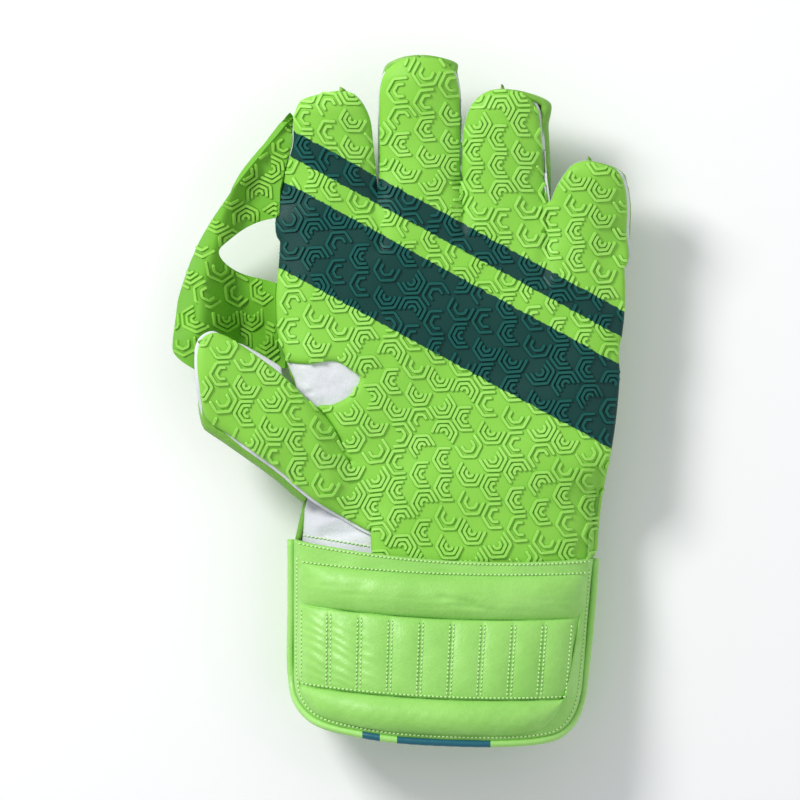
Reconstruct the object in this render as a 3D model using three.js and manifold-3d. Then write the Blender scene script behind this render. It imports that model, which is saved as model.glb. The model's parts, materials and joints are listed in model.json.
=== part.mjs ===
// A left-hand wicketkeeping glove, lying on its back with the palm up.
// Millimetres. +X is the little-finger side, +Y points along the fingers, +Z is up.
// The origin is on the ground, below the middle of the glove.

import * as THREE from 'three';
import { mergeVertices } from 'three/addons/utils/BufferGeometryUtils.js';
import Module from 'manifold-3d';

const wasm = await Module();
wasm.setup();

// Thicknesses and clearances
const rubber = 2.4;
const liningLeather = 1.4;
const shellLeather = 2.6;
const cuffLeather = 2.5;
const webRubber = 2.8;
const gap = 0.3;

// Palm
const palmWidth = 159;
const palmLength = 152.4;
const palmAxisX = 22.4;
const palmWristY = -72.4;
const palmHeight = 44;
const palmCup = 5;
const palmCupLength = 46;
const palmEdgeDrop = 4;
const palmTuck = 7;

// Almond cut-out in the palm rubber
const cutoutLength = 38;
const cutoutHeight = 20.6;
const cutoutTipX = -18.6;
const cutoutTipY = 10.2;

// Fingers: axisX and rootY place the root, and length runs from there to the fingertip
const fingerDepth = 30;
const fingerTipDepth = 24;
const fingerCrown = 4.5;
const fingerCurl = 11;
const fingerRollDepth = 3;
const fingerTipDrop = 3;
const fingerRoof = 8;
const liningProud = 0.8;
const knuckleLeftY = 98;
const knuckleRightY = 66;
const indexLength = 63;
const indexWidth = 38;
const middleLength = 72.7;
const middleWidth = 37.5;
const ringLength = 68.8;
const ringWidth = 37;
const littleLength = 44.7;
const littleWidth = 36.5;

// Thumb
const thumbLength = 102;
const thumbWidth = 38;
const thumbLean = 139.5;
const thumbRootX = -18.5;
const thumbRootY = -43.4;
const thumbRise = 14;
const thumbLiningProud = 1.3;
const thumbStripWidth = 3;

// Web between the thumb and the index finger
const webReach = 48.7;
const webLength = 116;
const webCrestHeight = 46;
const webHoleWidth = 28;
const webHoleHeight = 27;
const webHoleY = 70;
const webCornerX = -56.6;
const webCornerY = 15;

// Wrist, back of the hand and cuff
const wristSeamHeight = 24;
const wristRise = 19;
const handRoof = 18;
const bottomFlat = 3;
const cuffBottomFlat = 2.5;
const cuffWidth = 145.2;
const cuffLength = 85.3;
const cuffTaper = 7.5;
const cuffAxisX = 20.2;
const cuffTopY = -75.1;
const cuffSeamHeight = 26;
const cuffWristHeight = 48;
const cuffMouthHeight = 56;
const cuffPipingRadius = 1.65;
const upperRollWidth = 24.5;
const upperRollHeight = 6;
const channelPanelWidth = 35;
const channelPanelHeight = 3.6;
const channelCount = 9;
const lowerRollWidth = 16.5;
const lowerRollHeight = 5.5;
const padLeftMargin = 3;
const rollRightMargin = 3;
const panelRightMargin = 6.5;
const padRoot = 1;

// Extents of the blocks that cut the pieces, well beyond the glove
const floor = -50;
const tall = 200;
const wide = 400;
const runOut = 20;
const boreRunOut = 26;

const clamp = (v, lo, hi) => Math.min(hi, Math.max(lo, v));
const mix = (a, b, t) => a + (b - a) * t;
const smooth = (t) => {
  const c = clamp(t, 0, 1);
  return c * c * (3 - 2 * c);
};

// Section tables. along is a share of the finger's length from its root, and left and right are the
// distances from its axis to the edges of its face, as shares of its width. The last row is the tip.
const indexRows = [
  { along: -0.1, left: 0.64, right: 0.57 },
  { along: 0.28, left: 0.624, right: 0.553 },
  { along: 0.42, left: 0.57, right: 0.53 },
  { along: 0.61, left: 0.476, right: 0.5 },
  { along: 0.8, left: 0.462, right: 0.458 },
  { along: 0.92, left: 0.39, right: 0.36 },
  { along: 0.97, left: 0.19, right: 0.28 },
  { along: 1, left: -0.15, right: 0.15 },
];
const middleRows = [
  { along: -0.1, left: 0.505, right: 0.51 },
  { along: 0.25, left: 0.5, right: 0.51 },
  { along: 0.67, left: 0.5, right: 0.5 },
  { along: 0.8, left: 0.489, right: 0.485 },
  { along: 0.89, left: 0.44, right: 0.44 },
  { along: 0.955, left: 0.33, right: 0.36 },
  { along: 0.99, left: 0.19, right: 0.24 },
  { along: 1, left: -0.06, right: 0.06 },
];
const ringRows = [
  { along: -0.1, left: 0.51, right: 0.51 },
  { along: 0.49, left: 0.503, right: 0.512 },
  { along: 0.7, left: 0.49, right: 0.487 },
  { along: 0.81, left: 0.45, right: 0.46 },
  { along: 0.9, left: 0.378, right: 0.4 },
  { along: 0.96, left: 0.27, right: 0.3 },
  { along: 0.992, left: 0.15, right: 0.14 },
  { along: 1, left: 0.04, right: -0.04 },
];
const littleRows = [
  { along: -0.1, left: 0.52, right: 0.476 },
  { along: 0.29, left: 0.515, right: 0.495 },
  { along: 0.55, left: 0.477, right: 0.5 },
  { along: 0.725, left: 0.4, right: 0.47 },
  { along: 0.86, left: 0.3, right: 0.4 },
  { along: 0.96, left: 0.19, right: 0.2 },
  { along: 1, left: 0.02, right: -0.02 },
];
const thumbRows = [
  { along: -0.2, left: 0.2, right: 0.02 },
  { along: 0, left: 0.36, right: 0.12 },
  { along: 0.14, left: 0.42, right: 0.224 },
  { along: 0.24, left: 0.43, right: 0.358 },
  { along: 0.33, left: 0.425, right: 0.437 },
  { along: 0.46, left: 0.45, right: 0.46 },
  { along: 0.62, left: 0.49, right: 0.485 },
  { along: 0.74, left: 0.53, right: 0.468 },
  { along: 0.81, left: 0.42, right: 0.45 },
  { along: 0.87, left: 0.27, right: 0.43 },
  { along: 0.93, left: 0.12, right: 0.4 },
  { along: 0.98, left: -0.05, right: 0.33 },
  { along: 1, left: -0.2, right: 0.2 },
];

// proudLeft and proudRight are what the padded back shows beyond the face, in shares of its width;
// where proudFade is given they fade out over that share of the length before the tip.
const fingers = {
  index: {
    x: -31.5, y: 80, lean: 90, length: indexLength, width: indexWidth, rows: indexRows,
    proudLeft: 0.02, proudRight: 0.01, proudTip: 0.015,
  },
  middle: {
    x: 9.05, y: 86, lean: 90, length: middleLength, width: middleWidth, rows: middleRows,
    proudLeft: 0.02, proudRight: 0.03, proudTip: 0.02,
  },
  ring: {
    x: 47.4, y: 75, lean: 90, length: ringLength, width: ringWidth, rows: ringRows,
    proudLeft: 0.01, proudRight: 0.1, proudTip: 0.022,
  },
  little: {
    x: 87, y: 66, lean: 90, length: littleLength, width: littleWidth, rows: littleRows,
    proudLeft: 0.01, proudRight: 0.06, proudTip: 0.018,
  },
  thumb: {
    x: thumbRootX, y: thumbRootY, lean: thumbLean, length: thumbLength, width: thumbWidth,
    rows: thumbRows, proudLeft: 0.12, proudRight: 0.03, proudTip: 0.005, proudFade: 0.34,
  },
};
const fingerNames = ['index', 'middle', 'ring', 'little'];

// A finger's own frame: along its axis from the root, and across it towards the right.
function fingerFrame(finger) {
  const a = THREE.MathUtils.degToRad(finger.lean);
  const dir = new THREE.Vector2(Math.cos(a), Math.sin(a));
  const side = new THREE.Vector2(Math.sin(a), -Math.cos(a));
  const root = new THREE.Vector2(finger.x, finger.y);
  return {
    toPlan: (along, across) => root.clone().addScaledVector(dir, along).addScaledVector(side, across),
    alongOf: (x, y) => (x - root.x) * dir.x + (y - root.y) * dir.y,
    acrossOf: (x, y) => (x - root.x) * side.x + (y - root.y) * side.y,
  };
}

// The value of a column at a share of the length, by straight lines between the rows.
function column(rows, name, along) {
  const last = rows.length - 1;
  if (along <= rows[0].along) return rows[0][name];
  for (let i = 0; i < last; i += 1) {
    const a = rows[i];
    const b = rows[i + 1];
    if (along <= b.along) {
      return mix(a[name], b[name], (along - a.along) / (b.along - a.along));
    }
  }
  return rows[last][name];
}

// Outline of a finger's face in plan, grown by a distance. The right side may grow by its own
// distance, up to near the tip.
const rightSideShare = 0.945;
function fingerOutline(finger, grow = 0, growRight = grow) {
  const frame = fingerFrame(finger);
  const w = finger.width;
  const left = finger.rows.map((r) => [r.along * finger.length, -r.left * w]);
  const right = finger.rows.slice(0, -1).map((r) => [r.along * finger.length, r.right * w]).reverse();
  const points = [...left, ...right];
  return points.map(([along, across], i) => {
    const before = points[Math.max(0, i - 1)];
    const after = points[Math.min(points.length - 1, i + 1)];
    const tangent = new THREE.Vector2(after[0] - before[0], after[1] - before[1]).normalize();
    const g = across > 0 && along < finger.length * rightSideShare ? growRight : grow;
    return frame.toPlan(along + tangent.y * g, across - tangent.x * g);
  });
}

// A smooth closed plan line through a few points.
function smoothOutline(points, divisions) {
  const curve = new THREE.CatmullRomCurve3(
    points.map((p) => new THREE.Vector3(p.x, p.y, 0)), true, 'centripetal');
  return curve.getPoints(divisions).slice(0, -1).map((p) => new THREE.Vector2(p.x, p.y));
}

// Closed meshes and booleans
function solid(geometry) {
  const g = geometry.clone();
  g.deleteAttribute('normal');
  g.deleteAttribute('uv');
  const merged = mergeVertices(g, 1e-4);
  const vertices = new Float32Array(merged.attributes.position.array);
  const kept = [];
  const index = merged.index.array;
  for (let i = 0; i < index.length; i += 3) {
    const [a, b, c] = [index[i], index[i + 1], index[i + 2]];
    if (a !== b && b !== c && c !== a) kept.push(a, b, c);
  }
  const v = (i) => new THREE.Vector3().fromArray(vertices, i * 3);
  let volume = 0;
  for (let i = 0; i < kept.length; i += 3) {
    volume += v(kept[i]).dot(v(kept[i + 1]).cross(v(kept[i + 2])));
  }
  if (volume < 0) {
    for (let i = 0; i < kept.length; i += 3) [kept[i], kept[i + 1]] = [kept[i + 1], kept[i]];
  }
  const mesh = new wasm.Mesh({
    numProp: 3, vertProperties: vertices, triVerts: new Uint32Array(kept),
  });
  return new wasm.Manifold(mesh);
}

// The biggest connected body of a cut solid, as a geometry.
function bodyOf(manifold) {
  const pieces = manifold.decompose();
  pieces.sort((a, b) => b.volume() - a.volume());
  const mesh = pieces[0].getMesh();
  const geometry = new THREE.BufferGeometry();
  const positions = new Float32Array(mesh.numVert * 3);
  for (let i = 0; i < mesh.numVert; i += 1) {
    for (let k = 0; k < 3; k += 1) {
      positions[i * 3 + k] = mesh.vertProperties[i * mesh.numProp + k];
    }
  }
  geometry.setAttribute('position', new THREE.BufferAttribute(positions, 3));
  geometry.setIndex(new THREE.BufferAttribute(new Uint32Array(mesh.triVerts), 1));
  geometry.computeVertexNormals();
  return geometry;
}

function prism(outline, low, high) {
  const shape = new THREE.Shape(outline);
  const geometry = new THREE.ExtrudeGeometry(shape, {
    depth: high - low, bevelEnabled: false, steps: 1,
  });
  geometry.translate(0, 0, low);
  return solid(geometry);
}

// A closed slab: place(u, v, w) puts a point of the unit box, where w is 0 below and 1 on top. Both
// skins have the same diagonals, so that slabs of one grid stack without touching.
function slab(columns, rows, place) {
  const grid = new THREE.PlaneGeometry(1, 1, columns, rows);
  const count = grid.attributes.position.count;
  const positions = [];
  for (const w of [1, 0]) {
    for (let i = 0; i < count; i += 1) {
      const u = grid.attributes.position.getX(i) + 0.5;
      const v = grid.attributes.position.getY(i) + 0.5;
      positions.push(...place(u, v, w));
    }
  }
  const top = Array.from(grid.index.array);
  const index = [...top];
  for (let i = 0; i < top.length; i += 3) {
    index.push(top[i] + count, top[i + 2] + count, top[i + 1] + count);
  }
  const border = [];
  for (let i = 0; i < columns; i += 1) border.push(i);
  for (let i = 0; i < rows; i += 1) border.push(columns + i * (columns + 1));
  for (let i = columns; i > 0; i -= 1) border.push(rows * (columns + 1) + i);
  for (let i = rows; i > 0; i -= 1) border.push(i * (columns + 1));
  border.forEach((a, i) => {
    const b = border[(i + 1) % border.length];
    index.push(a, b, a + count, b, b + count, a + count);
  });
  const geometry = new THREE.BufferGeometry();
  geometry.setAttribute('position', new THREE.Float32BufferAttribute(positions, 3));
  geometry.setIndex(index);
  return solid(geometry);
}

// A closed body of rings: place(angle, along, radius) puts a point, where radius is 1 on the skin
// and 0 at the middle of an end cap.
function ringBody(sides, rings, place) {
  const geometry = new THREE.CylinderGeometry(1, 1, 1, sides, rings);
  const position = geometry.attributes.position;
  for (let i = 0; i < position.count; i += 1) {
    const x = position.getX(i);
    const z = position.getZ(i);
    const radius = Math.hypot(x, z);
    const p = place(Math.atan2(z, x), position.getY(i) + 0.5, radius);
    position.setXYZ(i, p[0], p[1], p[2]);
  }
  return solid(geometry);
}

// Height of the palm and finger faces
const wristY = -38;
const wristBlendLength = 26;
const wristAxisX = 22;
const wristHalfWidth = 68;
const archPower = 2.6;
const arch = (t) => (1 - Math.min(1, Math.abs(t)) ** archPower) ** (1 / archPower);

function fingerAt(x) {
  for (let i = 0; i < fingerNames.length - 1; i += 1) {
    const here = fingers[fingerNames[i]];
    const next = fingers[fingerNames[i + 1]];
    const border = (here.x + here.width / 2 + next.x - next.width / 2) / 2;
    if (x < border) return here;
  }
  return fingers.little;
}

function palmLevel(x, y) {
  const cup = palmCup
    * Math.exp(-(((x - palmAxisX) / (palmWidth * 0.3)) ** 2) - ((y / palmCupLength) ** 2));
  const reach = Math.abs(x - palmAxisX) / (palmWidth / 2);
  const edge = palmEdgeDrop * smooth((reach - 0.78) / 0.24);
  const open = palmHeight - cup - edge;
  const wrist = wristSeamHeight + wristRise * arch((x - wristAxisX) / wristHalfWidth);
  return mix(open, wrist, smooth((wristY - y) / wristBlendLength + 0.5));
}

function faceLevel(x, y) {
  const finger = fingerAt(x);
  const share = clamp((y - finger.y) / finger.length, 0, 1.1);
  const across = clamp((x - finger.x) / (finger.width / 2), -1.15, 1.15);
  const edge = palmEdgeDrop * smooth(share * 2);
  const reach = Math.abs(x - palmAxisX) / (palmWidth / 2);
  const lift = edge * smooth((reach - 0.78) / 0.24);
  const tip = fingerTipDrop * smooth((share - 0.85) / 0.15);
  return palmLevel(x, y) + lift + fingerCurl * share ** 1.5 - tip
    - fingerCrown * across ** 2 * smooth(share * 3);
}

const thumbFrame = fingerFrame(fingers.thumb);

function thumbLevel(x, y) {
  const along = thumbFrame.alongOf(x, y);
  const share = clamp(along / thumbLength, 0, 1.05);
  const across = clamp(thumbFrame.acrossOf(x, y) / (thumbWidth / 2), -1.2, 1.2);
  const free = palmHeight + thumbRise * share ** 0.8 - fingerCrown * across ** 2;
  return mix(palmLevel(x, y), free, smooth(along / 24 + 0.35));
}

// Plan outlines
const palmY = (share) => palmWristY + share * palmLength;
const palmLeft = (share) => palmAxisX - share * palmWidth;
const palmRight = (share) => palmAxisX + share * palmWidth;
const palmPoint = (along, across) => new THREE.Vector2(palmAxisX + across * palmWidth, palmY(along));
const palmRightRows = [
  { along: 0.02, across: 0.437 }, { along: 0.11, across: 0.443 }, { along: 0.22, across: 0.457 },
  { along: 0.335, across: 0.478 }, { along: 0.445, across: 0.4925 }, { along: 0.55, across: 0.5 },
  { along: 0.627, across: 0.498 }, { along: 0.673, across: 0.507 }, { along: 0.78, across: 0.516 },
  { along: 0.91, across: 0.512 },
];
const palmWebRows = [
  { along: 1.08, across: -0.49 }, { along: 0.95, across: -0.491 }, { along: 0.88, across: -0.495 },
  { along: 0.8, across: -0.503 }, { along: 0.72, across: -0.501 }, { along: 0.66, across: -0.495 },
  { along: 0.6, across: -0.474 },
];
// Margin of the palm that runs on under the thumb
const palmThumbRows = [
  { along: 0.54, across: -0.45 }, { along: 0.46, across: -0.43 }, { along: 0.37, across: -0.372 },
  { along: 0.29, across: -0.287 },
];
const thumbJoin = [palmPoint(0.29, -0.287), palmPoint(0.0912, -0.2283)];

function palmOutline() {
  const tuck = palmTuck / palmLength;
  const rows = (table) => table.map((r) => palmPoint(r.along, r.across));
  return [
    palmPoint(-tuck, -0.222),
    palmPoint(-tuck, 0.41),
    ...rows(palmRightRows),
    palmPoint(1.08, 0.4),
    ...rows(palmWebRows),
    ...rows(palmThumbRows),
    thumbJoin[1],
  ];
}

// Almond: points as shares of its length back from the tip and of its height up from the tip
const cutoutRows = [
  { back: 0, up: 0 }, { back: 0.1, up: 0.17 }, { back: 0.3, up: 0.37 }, { back: 0.62, up: 0.31 },
  { back: 0.84, up: 0.34 }, { back: 1.04, up: 0.42 }, { back: 0.95, up: -0.3 }, { back: 0.7, up: -0.75 },
  { back: 0.47, up: -0.61 }, { back: 0.34, up: -0.6 }, { back: 0.12, up: -0.38 },
];
const cutoutOutline = () => smoothOutline(cutoutRows.map((r) => new THREE.Vector2(
  cutoutTipX - r.back * cutoutLength, cutoutTipY + r.up * cutoutHeight)), 22);

// A half plane as a big prism, on the left of the line from a to b, moved off it by a distance
function halfPlane(a, b, off) {
  const dir = b.clone().sub(a).normalize();
  const left = new THREE.Vector2(-dir.y, dir.x);
  const p = a.clone().addScaledVector(left, off).addScaledVector(dir, -wide);
  const q = p.clone().addScaledVector(dir, 2 * wide);
  const corners = [p, q, q.clone().addScaledVector(left, wide), p.clone().addScaledVector(left, wide)];
  return prism(corners, floor, tall);
}

// Grid columns follow the fingers, so that the slits fall between them.
const faceColumns = [palmLeft(0.556), palmLeft(0.499)];
for (const name of fingerNames) {
  const f = fingers[name];
  for (const share of [-0.25, 0, 0.25, 0.52]) faceColumns.push(f.x + share * f.width);
}
faceColumns.push(palmAxisX + palmWidth * 0.56);
const faceRows = 17;
const faceMargin = 6;
const faceLow = palmWristY - palmTuck - faceMargin;
const faceHigh = fingers.middle.y + middleLength + faceMargin;

const fromTable = (table, share) => {
  const at = share * (table.length - 1);
  const i = Math.min(table.length - 2, Math.floor(at));
  return mix(table[i], table[i + 1], at - i);
};

// The space between two offsets below the face, over the whole palm and the fingers
const faceSlab = (low, high) => slab(faceColumns.length - 1, faceRows, (u, v, w) => {
  const x = fromTable(faceColumns, u);
  const y = mix(faceLow, faceHigh, v);
  const level = faceLevel(x, y);
  return [x, y, w > 0.5 ? level + high : level + low];
});

// The same for the thumb, on a grid that follows its axis
const thumbSlab = (low, high) => slab(6, 13, (u, v, w) => {
  const p = thumbFrame.toPlan(mix(-0.28, 1.1, v) * thumbLength, mix(-0.8, 0.75, u) * thumbWidth);
  const level = thumbLevel(p.x, p.y);
  return [p.x, p.y, w > 0.5 ? level + high : level + low];
});

const liningTop = -rubber - gap;
const liningBottom = liningTop - liningLeather;

const thumbSide = halfPlane(thumbJoin[1], thumbJoin[0], gap);
const thumbPlan = (grow, strip) => prism(
  smoothOutline(fingerOutline(fingers.thumb, grow, strip), 40), floor, tall);

const thumbFaceBody = thumbSlab(-rubber, 0).intersect(thumbPlan(0, 0)).intersect(thumbSide);
const thumbLiningBody = thumbSlab(liningBottom, liningTop)
  .intersect(thumbPlan(thumbLiningProud, thumbStripWidth * 0.5)).intersect(thumbSide);
const thumbSpace = thumbSlab(liningBottom - gap, tall)
  .intersect(thumbPlan(thumbLiningProud + gap, thumbStripWidth * 0.5 + gap))
  .intersect(halfPlane(thumbJoin[1], thumbJoin[0], 0));

function facePlan(grow) {
  let plan = prism(palmOutline(), floor, tall);
  for (const name of fingerNames) {
    plan = plan.add(prism(smoothOutline(fingerOutline(fingers[name], grow), 28), floor, tall));
  }
  return plan;
}

const faceBody = faceSlab(-rubber, 0).intersect(facePlan(0))
  .subtract(prism(cutoutOutline(), floor, tall)).subtract(thumbSpace);
const liningBody = faceSlab(liningBottom, liningTop).intersect(facePlan(liningProud))
  .subtract(thumbSpace);
const faceSpace = faceSlab(liningBottom - gap, gap).intersect(facePlan(liningProud + gap));

// White gusset between the thumb and the cuff, one step below the lining
const gussetStep = 0.6;
const gussetTuck = 4;
const gussetInset = 1.5;
const gussetRight = palmLeft(0.222) + gussetTuck;
const gussetLeft = wristAxisX - wristHalfWidth + gussetInset;
const gussetTopY = palmY(0.24);
const gussetLow = palmWristY - palmTuck;
const gussetSlab = (low, high, grow) => slab(7, 6, (u, v, w) => {
  const x = mix(gussetLeft - grow, gussetRight + grow, u);
  const y = mix(gussetLow - grow, gussetTopY + grow, v);
  const level = palmLevel(x, y) + liningBottom - gussetStep;
  return [x, y, w > 0.5 ? level + high : level + low];
});
const gussetBody = gussetSlab(-liningLeather, 0, 0).subtract(thumbSpace).subtract(faceSpace);
const gussetSpace = gussetSlab(-liningLeather - gap, tall, gap);

// Padded finger backs: closed bodies of rings, two rolls side by side along the back. seatShare is
// where their sides stand widest, as a share of the height.
const shellSides = 16;
const shellRings = 8;
const seatShare = 0.55;
const shellPower = 0.75;
const leastHalfWidth = 1.5;

function fingerBody(finger, level, inset, start) {
  const frame = fingerFrame(finger);
  const w = finger.width;
  const grown = (1 + finger.proudTip) * finger.length - inset;
  return ringBody(shellSides, shellRings, (angle, share, radius) => {
    const t = Math.sin((share * Math.PI) / 2) ** 0.9;
    const along = mix(start * finger.length, grown, t);
    const reach = along / grown;
    const shown = finger.proudFade ? smooth((1.02 - reach) / finger.proudFade) : 1;
    const left = (column(finger.rows, 'left', reach) + finger.proudLeft * shown) * w - inset;
    const right = (column(finger.rows, 'right', reach) + finger.proudRight * shown) * w - inset;
    const half = Math.max(leastHalfWidth, (left + right) / 2);
    const middle = (right - left) / 2;
    const c = Math.cos(angle);
    const s = Math.sin(angle);
    const across = middle + half * radius * Math.sign(c) * Math.abs(c) ** shellPower;
    const p = frame.toPlan(along, across);
    const centre = frame.toPlan(along, middle);
    const top = level(centre.x, centre.y) + fingerRoof;
    const round = Math.sqrt(Math.max(0, 1 - Math.max(0, (reach - 0.72) / 0.3) ** 2));
    const depth = mix(fingerDepth, fingerTipDepth, clamp(reach, 0, 1)) * mix(0.35, 1, round);
    const bottom = top - fingerRoof - depth + inset;
    const lobe = fingerRollDepth * Math.exp(-(((across - middle) / (w * 0.12)) ** 2));
    const edge = Math.abs(s) ** shellPower * radius;
    const seat = mix(bottom, top, seatShare);
    const z = mix(seat, s > 0 ? top : bottom + lobe * radius, edge);
    return [p.x, p.y, Math.max(inset, z)];
  });
}

// The line across the knuckles where the finger backs start
const knuckleLeft = new THREE.Vector2(palmLeft(0.52), knuckleLeftY);
const knuckleRight = new THREE.Vector2(palmRight(0.54), knuckleRightY);
const beyondKnuckles = halfPlane(knuckleLeft, knuckleRight, gap / 2);
const beforeKnuckles = halfPlane(knuckleRight, knuckleLeft, gap / 2);
const aboveFace = faceSlab(liningBottom - gap, tall);
const aboveThumb = thumbSlab(liningBottom - gap, tall);

function fingerShell(name) {
  const finger = fingers[name];
  return fingerBody(finger, faceLevel, 0, -0.25)
    .subtract(fingerBody(finger, faceLevel, shellLeather, -0.4))
    .subtract(aboveFace)
    .intersect(beyondKnuckles);
}

const shells = {};
for (const name of fingerNames) {
  let body = fingerShell(name);
  const before = fingerNames[fingerNames.indexOf(name) - 1];
  if (before) {
    body = body.subtract(fingerBody(fingers[before], faceLevel, -gap, -0.3));
  }
  shells[name] = body;
}

// Back of the hand: rings along Y. left and right are shares of the palm's width from its axis.
const handRows = [
  { along: -0.05, left: 0.415, right: 0.41, bottom: 0 },
  { along: 0.1, left: 0.42, right: 0.43, bottom: 0 },
  { along: 0.25, left: 0.405, right: 0.455, bottom: 0 },
  { along: 0.42, left: 0.43, right: 0.485, bottom: 0 },
  { along: 0.6, left: 0.475, right: 0.495, bottom: 0 },
  { along: 0.8, left: 0.495, right: 0.51, bottom: 0.03 },
  { along: 0.95, left: 0.488, right: 0.515, bottom: 0.12 },
  { along: 1.15, left: 0.488, right: 0.515, bottom: 0.28 },
];

function handBody(inset, start = -0.05, end = 1.15) {
  return ringBody(24, 8, (angle, share, radius) => {
    const along = mix(start, end, share);
    const left = column(handRows, 'left', along) * palmWidth - inset;
    const right = column(handRows, 'right', along) * palmWidth - inset;
    const half = (left + right) / 2;
    const middle = palmAxisX + (right - left) / 2;
    const c = Math.cos(angle);
    const s = Math.sin(angle);
    const x = middle + half * radius * Math.sign(c) * Math.abs(c) ** 0.7;
    const y = palmY(along);
    const seam = mix(wristSeamHeight, palmHeight * 0.62, smooth(along * 3));
    const rise = column(handRows, 'bottom', along) * palmHeight;
    const bottom = rise + inset - (rise > 0.5 ? 0 : bottomFlat);
    const top = palmHeight + handRoof;
    const edge = Math.abs(s) ** 0.7;
    const z = s > 0 ? mix(seam, top, edge * radius) : mix(seam, bottom, edge * radius);
    return [x, y, Math.max(inset, z)];
  });
}

const thumbCavity = fingerBody(fingers.thumb, thumbLevel, shellLeather, -0.12);
const handOuter = handBody(0);
const thumbRoofSpace = thumbSlab(liningBottom - gap, tall).intersect(thumbPlan(3, 3));
const backBody = handOuter
  .subtract(handBody(shellLeather, -0.12, 1.25))
  .subtract(aboveFace)
  .subtract(gussetSpace)
  .subtract(thumbRoofSpace)
  .subtract(thumbCavity)
  .intersect(beforeKnuckles);

const thumbShellBody = fingerBody(fingers.thumb, thumbLevel, 0, -0.1)
  .subtract(thumbCavity)
  .subtract(aboveThumb)
  .subtract(handBody(-gap))
  .subtract(faceSpace)
  .subtract(gussetSpace);

// Web. Each row is one section from its outer rim to the seam at the palm. out and up place the rim,
// from the palm's seam corner, in shares of the web's reach and length; rim, crest, valley and seam
// are heights as shares of the crest height, and crestAt and valleyAt are shares of the way across.
const webRows = [
  { up: 1, out: 0, seamUp: 1, rim: 0.94, crestAt: 0.4, crest: 0.97, valleyAt: 0.7, valley: 0.93, seam: 0.9 },
  { up: 0.86, out: 0.38, seamUp: 0.9, rim: 0.9, crestAt: 0.3, crest: 1, valleyAt: 0.62, valley: 0.9, seam: 0.9 },
  { up: 0.69, out: 0.62, seamUp: 0.8, rim: 0.7, crestAt: 0.28, crest: 0.98, valleyAt: 0.6, valley: 0.82, seam: 0.88 },
  { up: 0.5, out: 0.8, seamUp: 0.67, rim: 0.52, crestAt: 0.26, crest: 0.86, valleyAt: 0.6, valley: 0.74, seam: 0.86 },
  { up: 0.31, out: 0.95, seamUp: 0.4, rim: 0.44, crestAt: 0.24, crest: 0.76, valleyAt: 0.6, valley: 0.5, seam: 0.84 },
  { up: 0.12, out: 1.01, seamUp: 0.18, rim: 0.4, crestAt: 0.27, crest: 0.74, valleyAt: 0.7, valley: 0.24, seam: 0.84 },
  { up: -0.08, out: 1.04, seamUp: 0, rim: 0.36, crestAt: 0.3, crest: 0.6, valleyAt: 0.7, valley: 0.22, seam: 0.7 },
];

// The seam runs up the palm's side and on along the index finger; the sheet reaches a little past
// it and is cut back there.
const webOverlap = 1;
const webBulge = 7.6;
function webSeamX(y) {
  const { x, y: rootY, rows, length, width } = fingers.index;
  const fingerShare = (y - rootY) / length;
  if (fingerShare > 0.16) return x - column(rows, 'left', fingerShare) * width + webOverlap;
  const share = (y - palmWristY) / palmLength;
  return palmAxisX + column([...palmWebRows].reverse(), 'across', share) * palmWidth + webOverlap;
}

function webPoint(u, v) {
  const at = v * (webRows.length - 1);
  const i = Math.min(webRows.length - 2, Math.floor(at));
  const t = at - i;
  const value = (name) => mix(webRows[i][name], webRows[i + 1][name], t);
  const rimX = webCornerX + webBulge - webReach * value('out') - webBulge * Math.min(1, value('out') * 3);
  const rimY = webCornerY + webLength * value('up');
  const seamY = webCornerY + webLength * value('seamUp');
  const seamX = webSeamX(seamY);
  const heights = new THREE.SplineCurve([
    new THREE.Vector2(0, value('rim')),
    new THREE.Vector2(value('crestAt'), value('crest')),
    new THREE.Vector2(value('valleyAt'), value('valley')),
    new THREE.Vector2(1, value('seam')),
  ]);
  const p = heights.getPoint(u);
  return new THREE.Vector3(mix(rimX, seamX, p.x), mix(rimY, seamY, p.x), p.y * webCrestHeight);
}

const webSheet = slab(8, 13, (u, v, w) => {
  const step = 0.01;
  const p = webPoint(u, v);
  const pu = webPoint(Math.min(1, u + step), v).sub(webPoint(Math.max(0, u - step), v));
  const pv = webPoint(u, Math.min(1, v + step)).sub(webPoint(u, Math.max(0, v - step)));
  const normal = pv.cross(pu).normalize();
  if (normal.z < 0) normal.negate();
  return p.addScaledVector(normal, w > 0.5 ? 0 : -webRubber).toArray();
});

// The opening of the web, as shares of its width out from the palm and of its height
const webHoleRows = [
  { out: -0.3, up: 0.53 }, { out: 0.15, up: 0.52 }, { out: 0.5, up: 0.4 }, { out: 0.83, up: 0.16 },
  { out: 1, up: -0.03 }, { out: 0.95, up: -0.18 }, { out: 0.7, up: -0.38 }, { out: 0.33, up: -0.5 },
  { out: -0.3, up: -0.58 },
];
const webHole = prism(smoothOutline(webHoleRows.map((r) => new THREE.Vector2(
  webCornerX + 0.6 - r.out * webHoleWidth, webHoleY + r.up * webHoleHeight)), 26), floor, tall);

// The web's outline in plan, as shares of its reach and length from the palm's seam corner
const webRimRows = [
  { up: 0.982, out: -0.09 }, { up: 0.86, out: 0.148 },
  { up: 0.69, out: 0.466 }, { up: 0.5, out: 0.76 }, { up: 0.31, out: 0.936 }, { up: 0.13, out: 1.037 },
  { up: 0.065, out: 1.01 }, { up: 0.02, out: 0.912 }, { up: -0.03, out: 0.7 }, { up: -0.12, out: 0.4 },
];
const webRim = webRimRows.map((r) => new THREE.Vector2(
  webCornerX - webReach * r.out, webCornerY + webLength * r.up));
const webPlan = prism([
  ...webRim,
  new THREE.Vector2(webCornerX + wide, webRim[webRim.length - 1].y),
  new THREE.Vector2(webCornerX + wide, webRim[0].y)], floor, tall);

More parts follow.
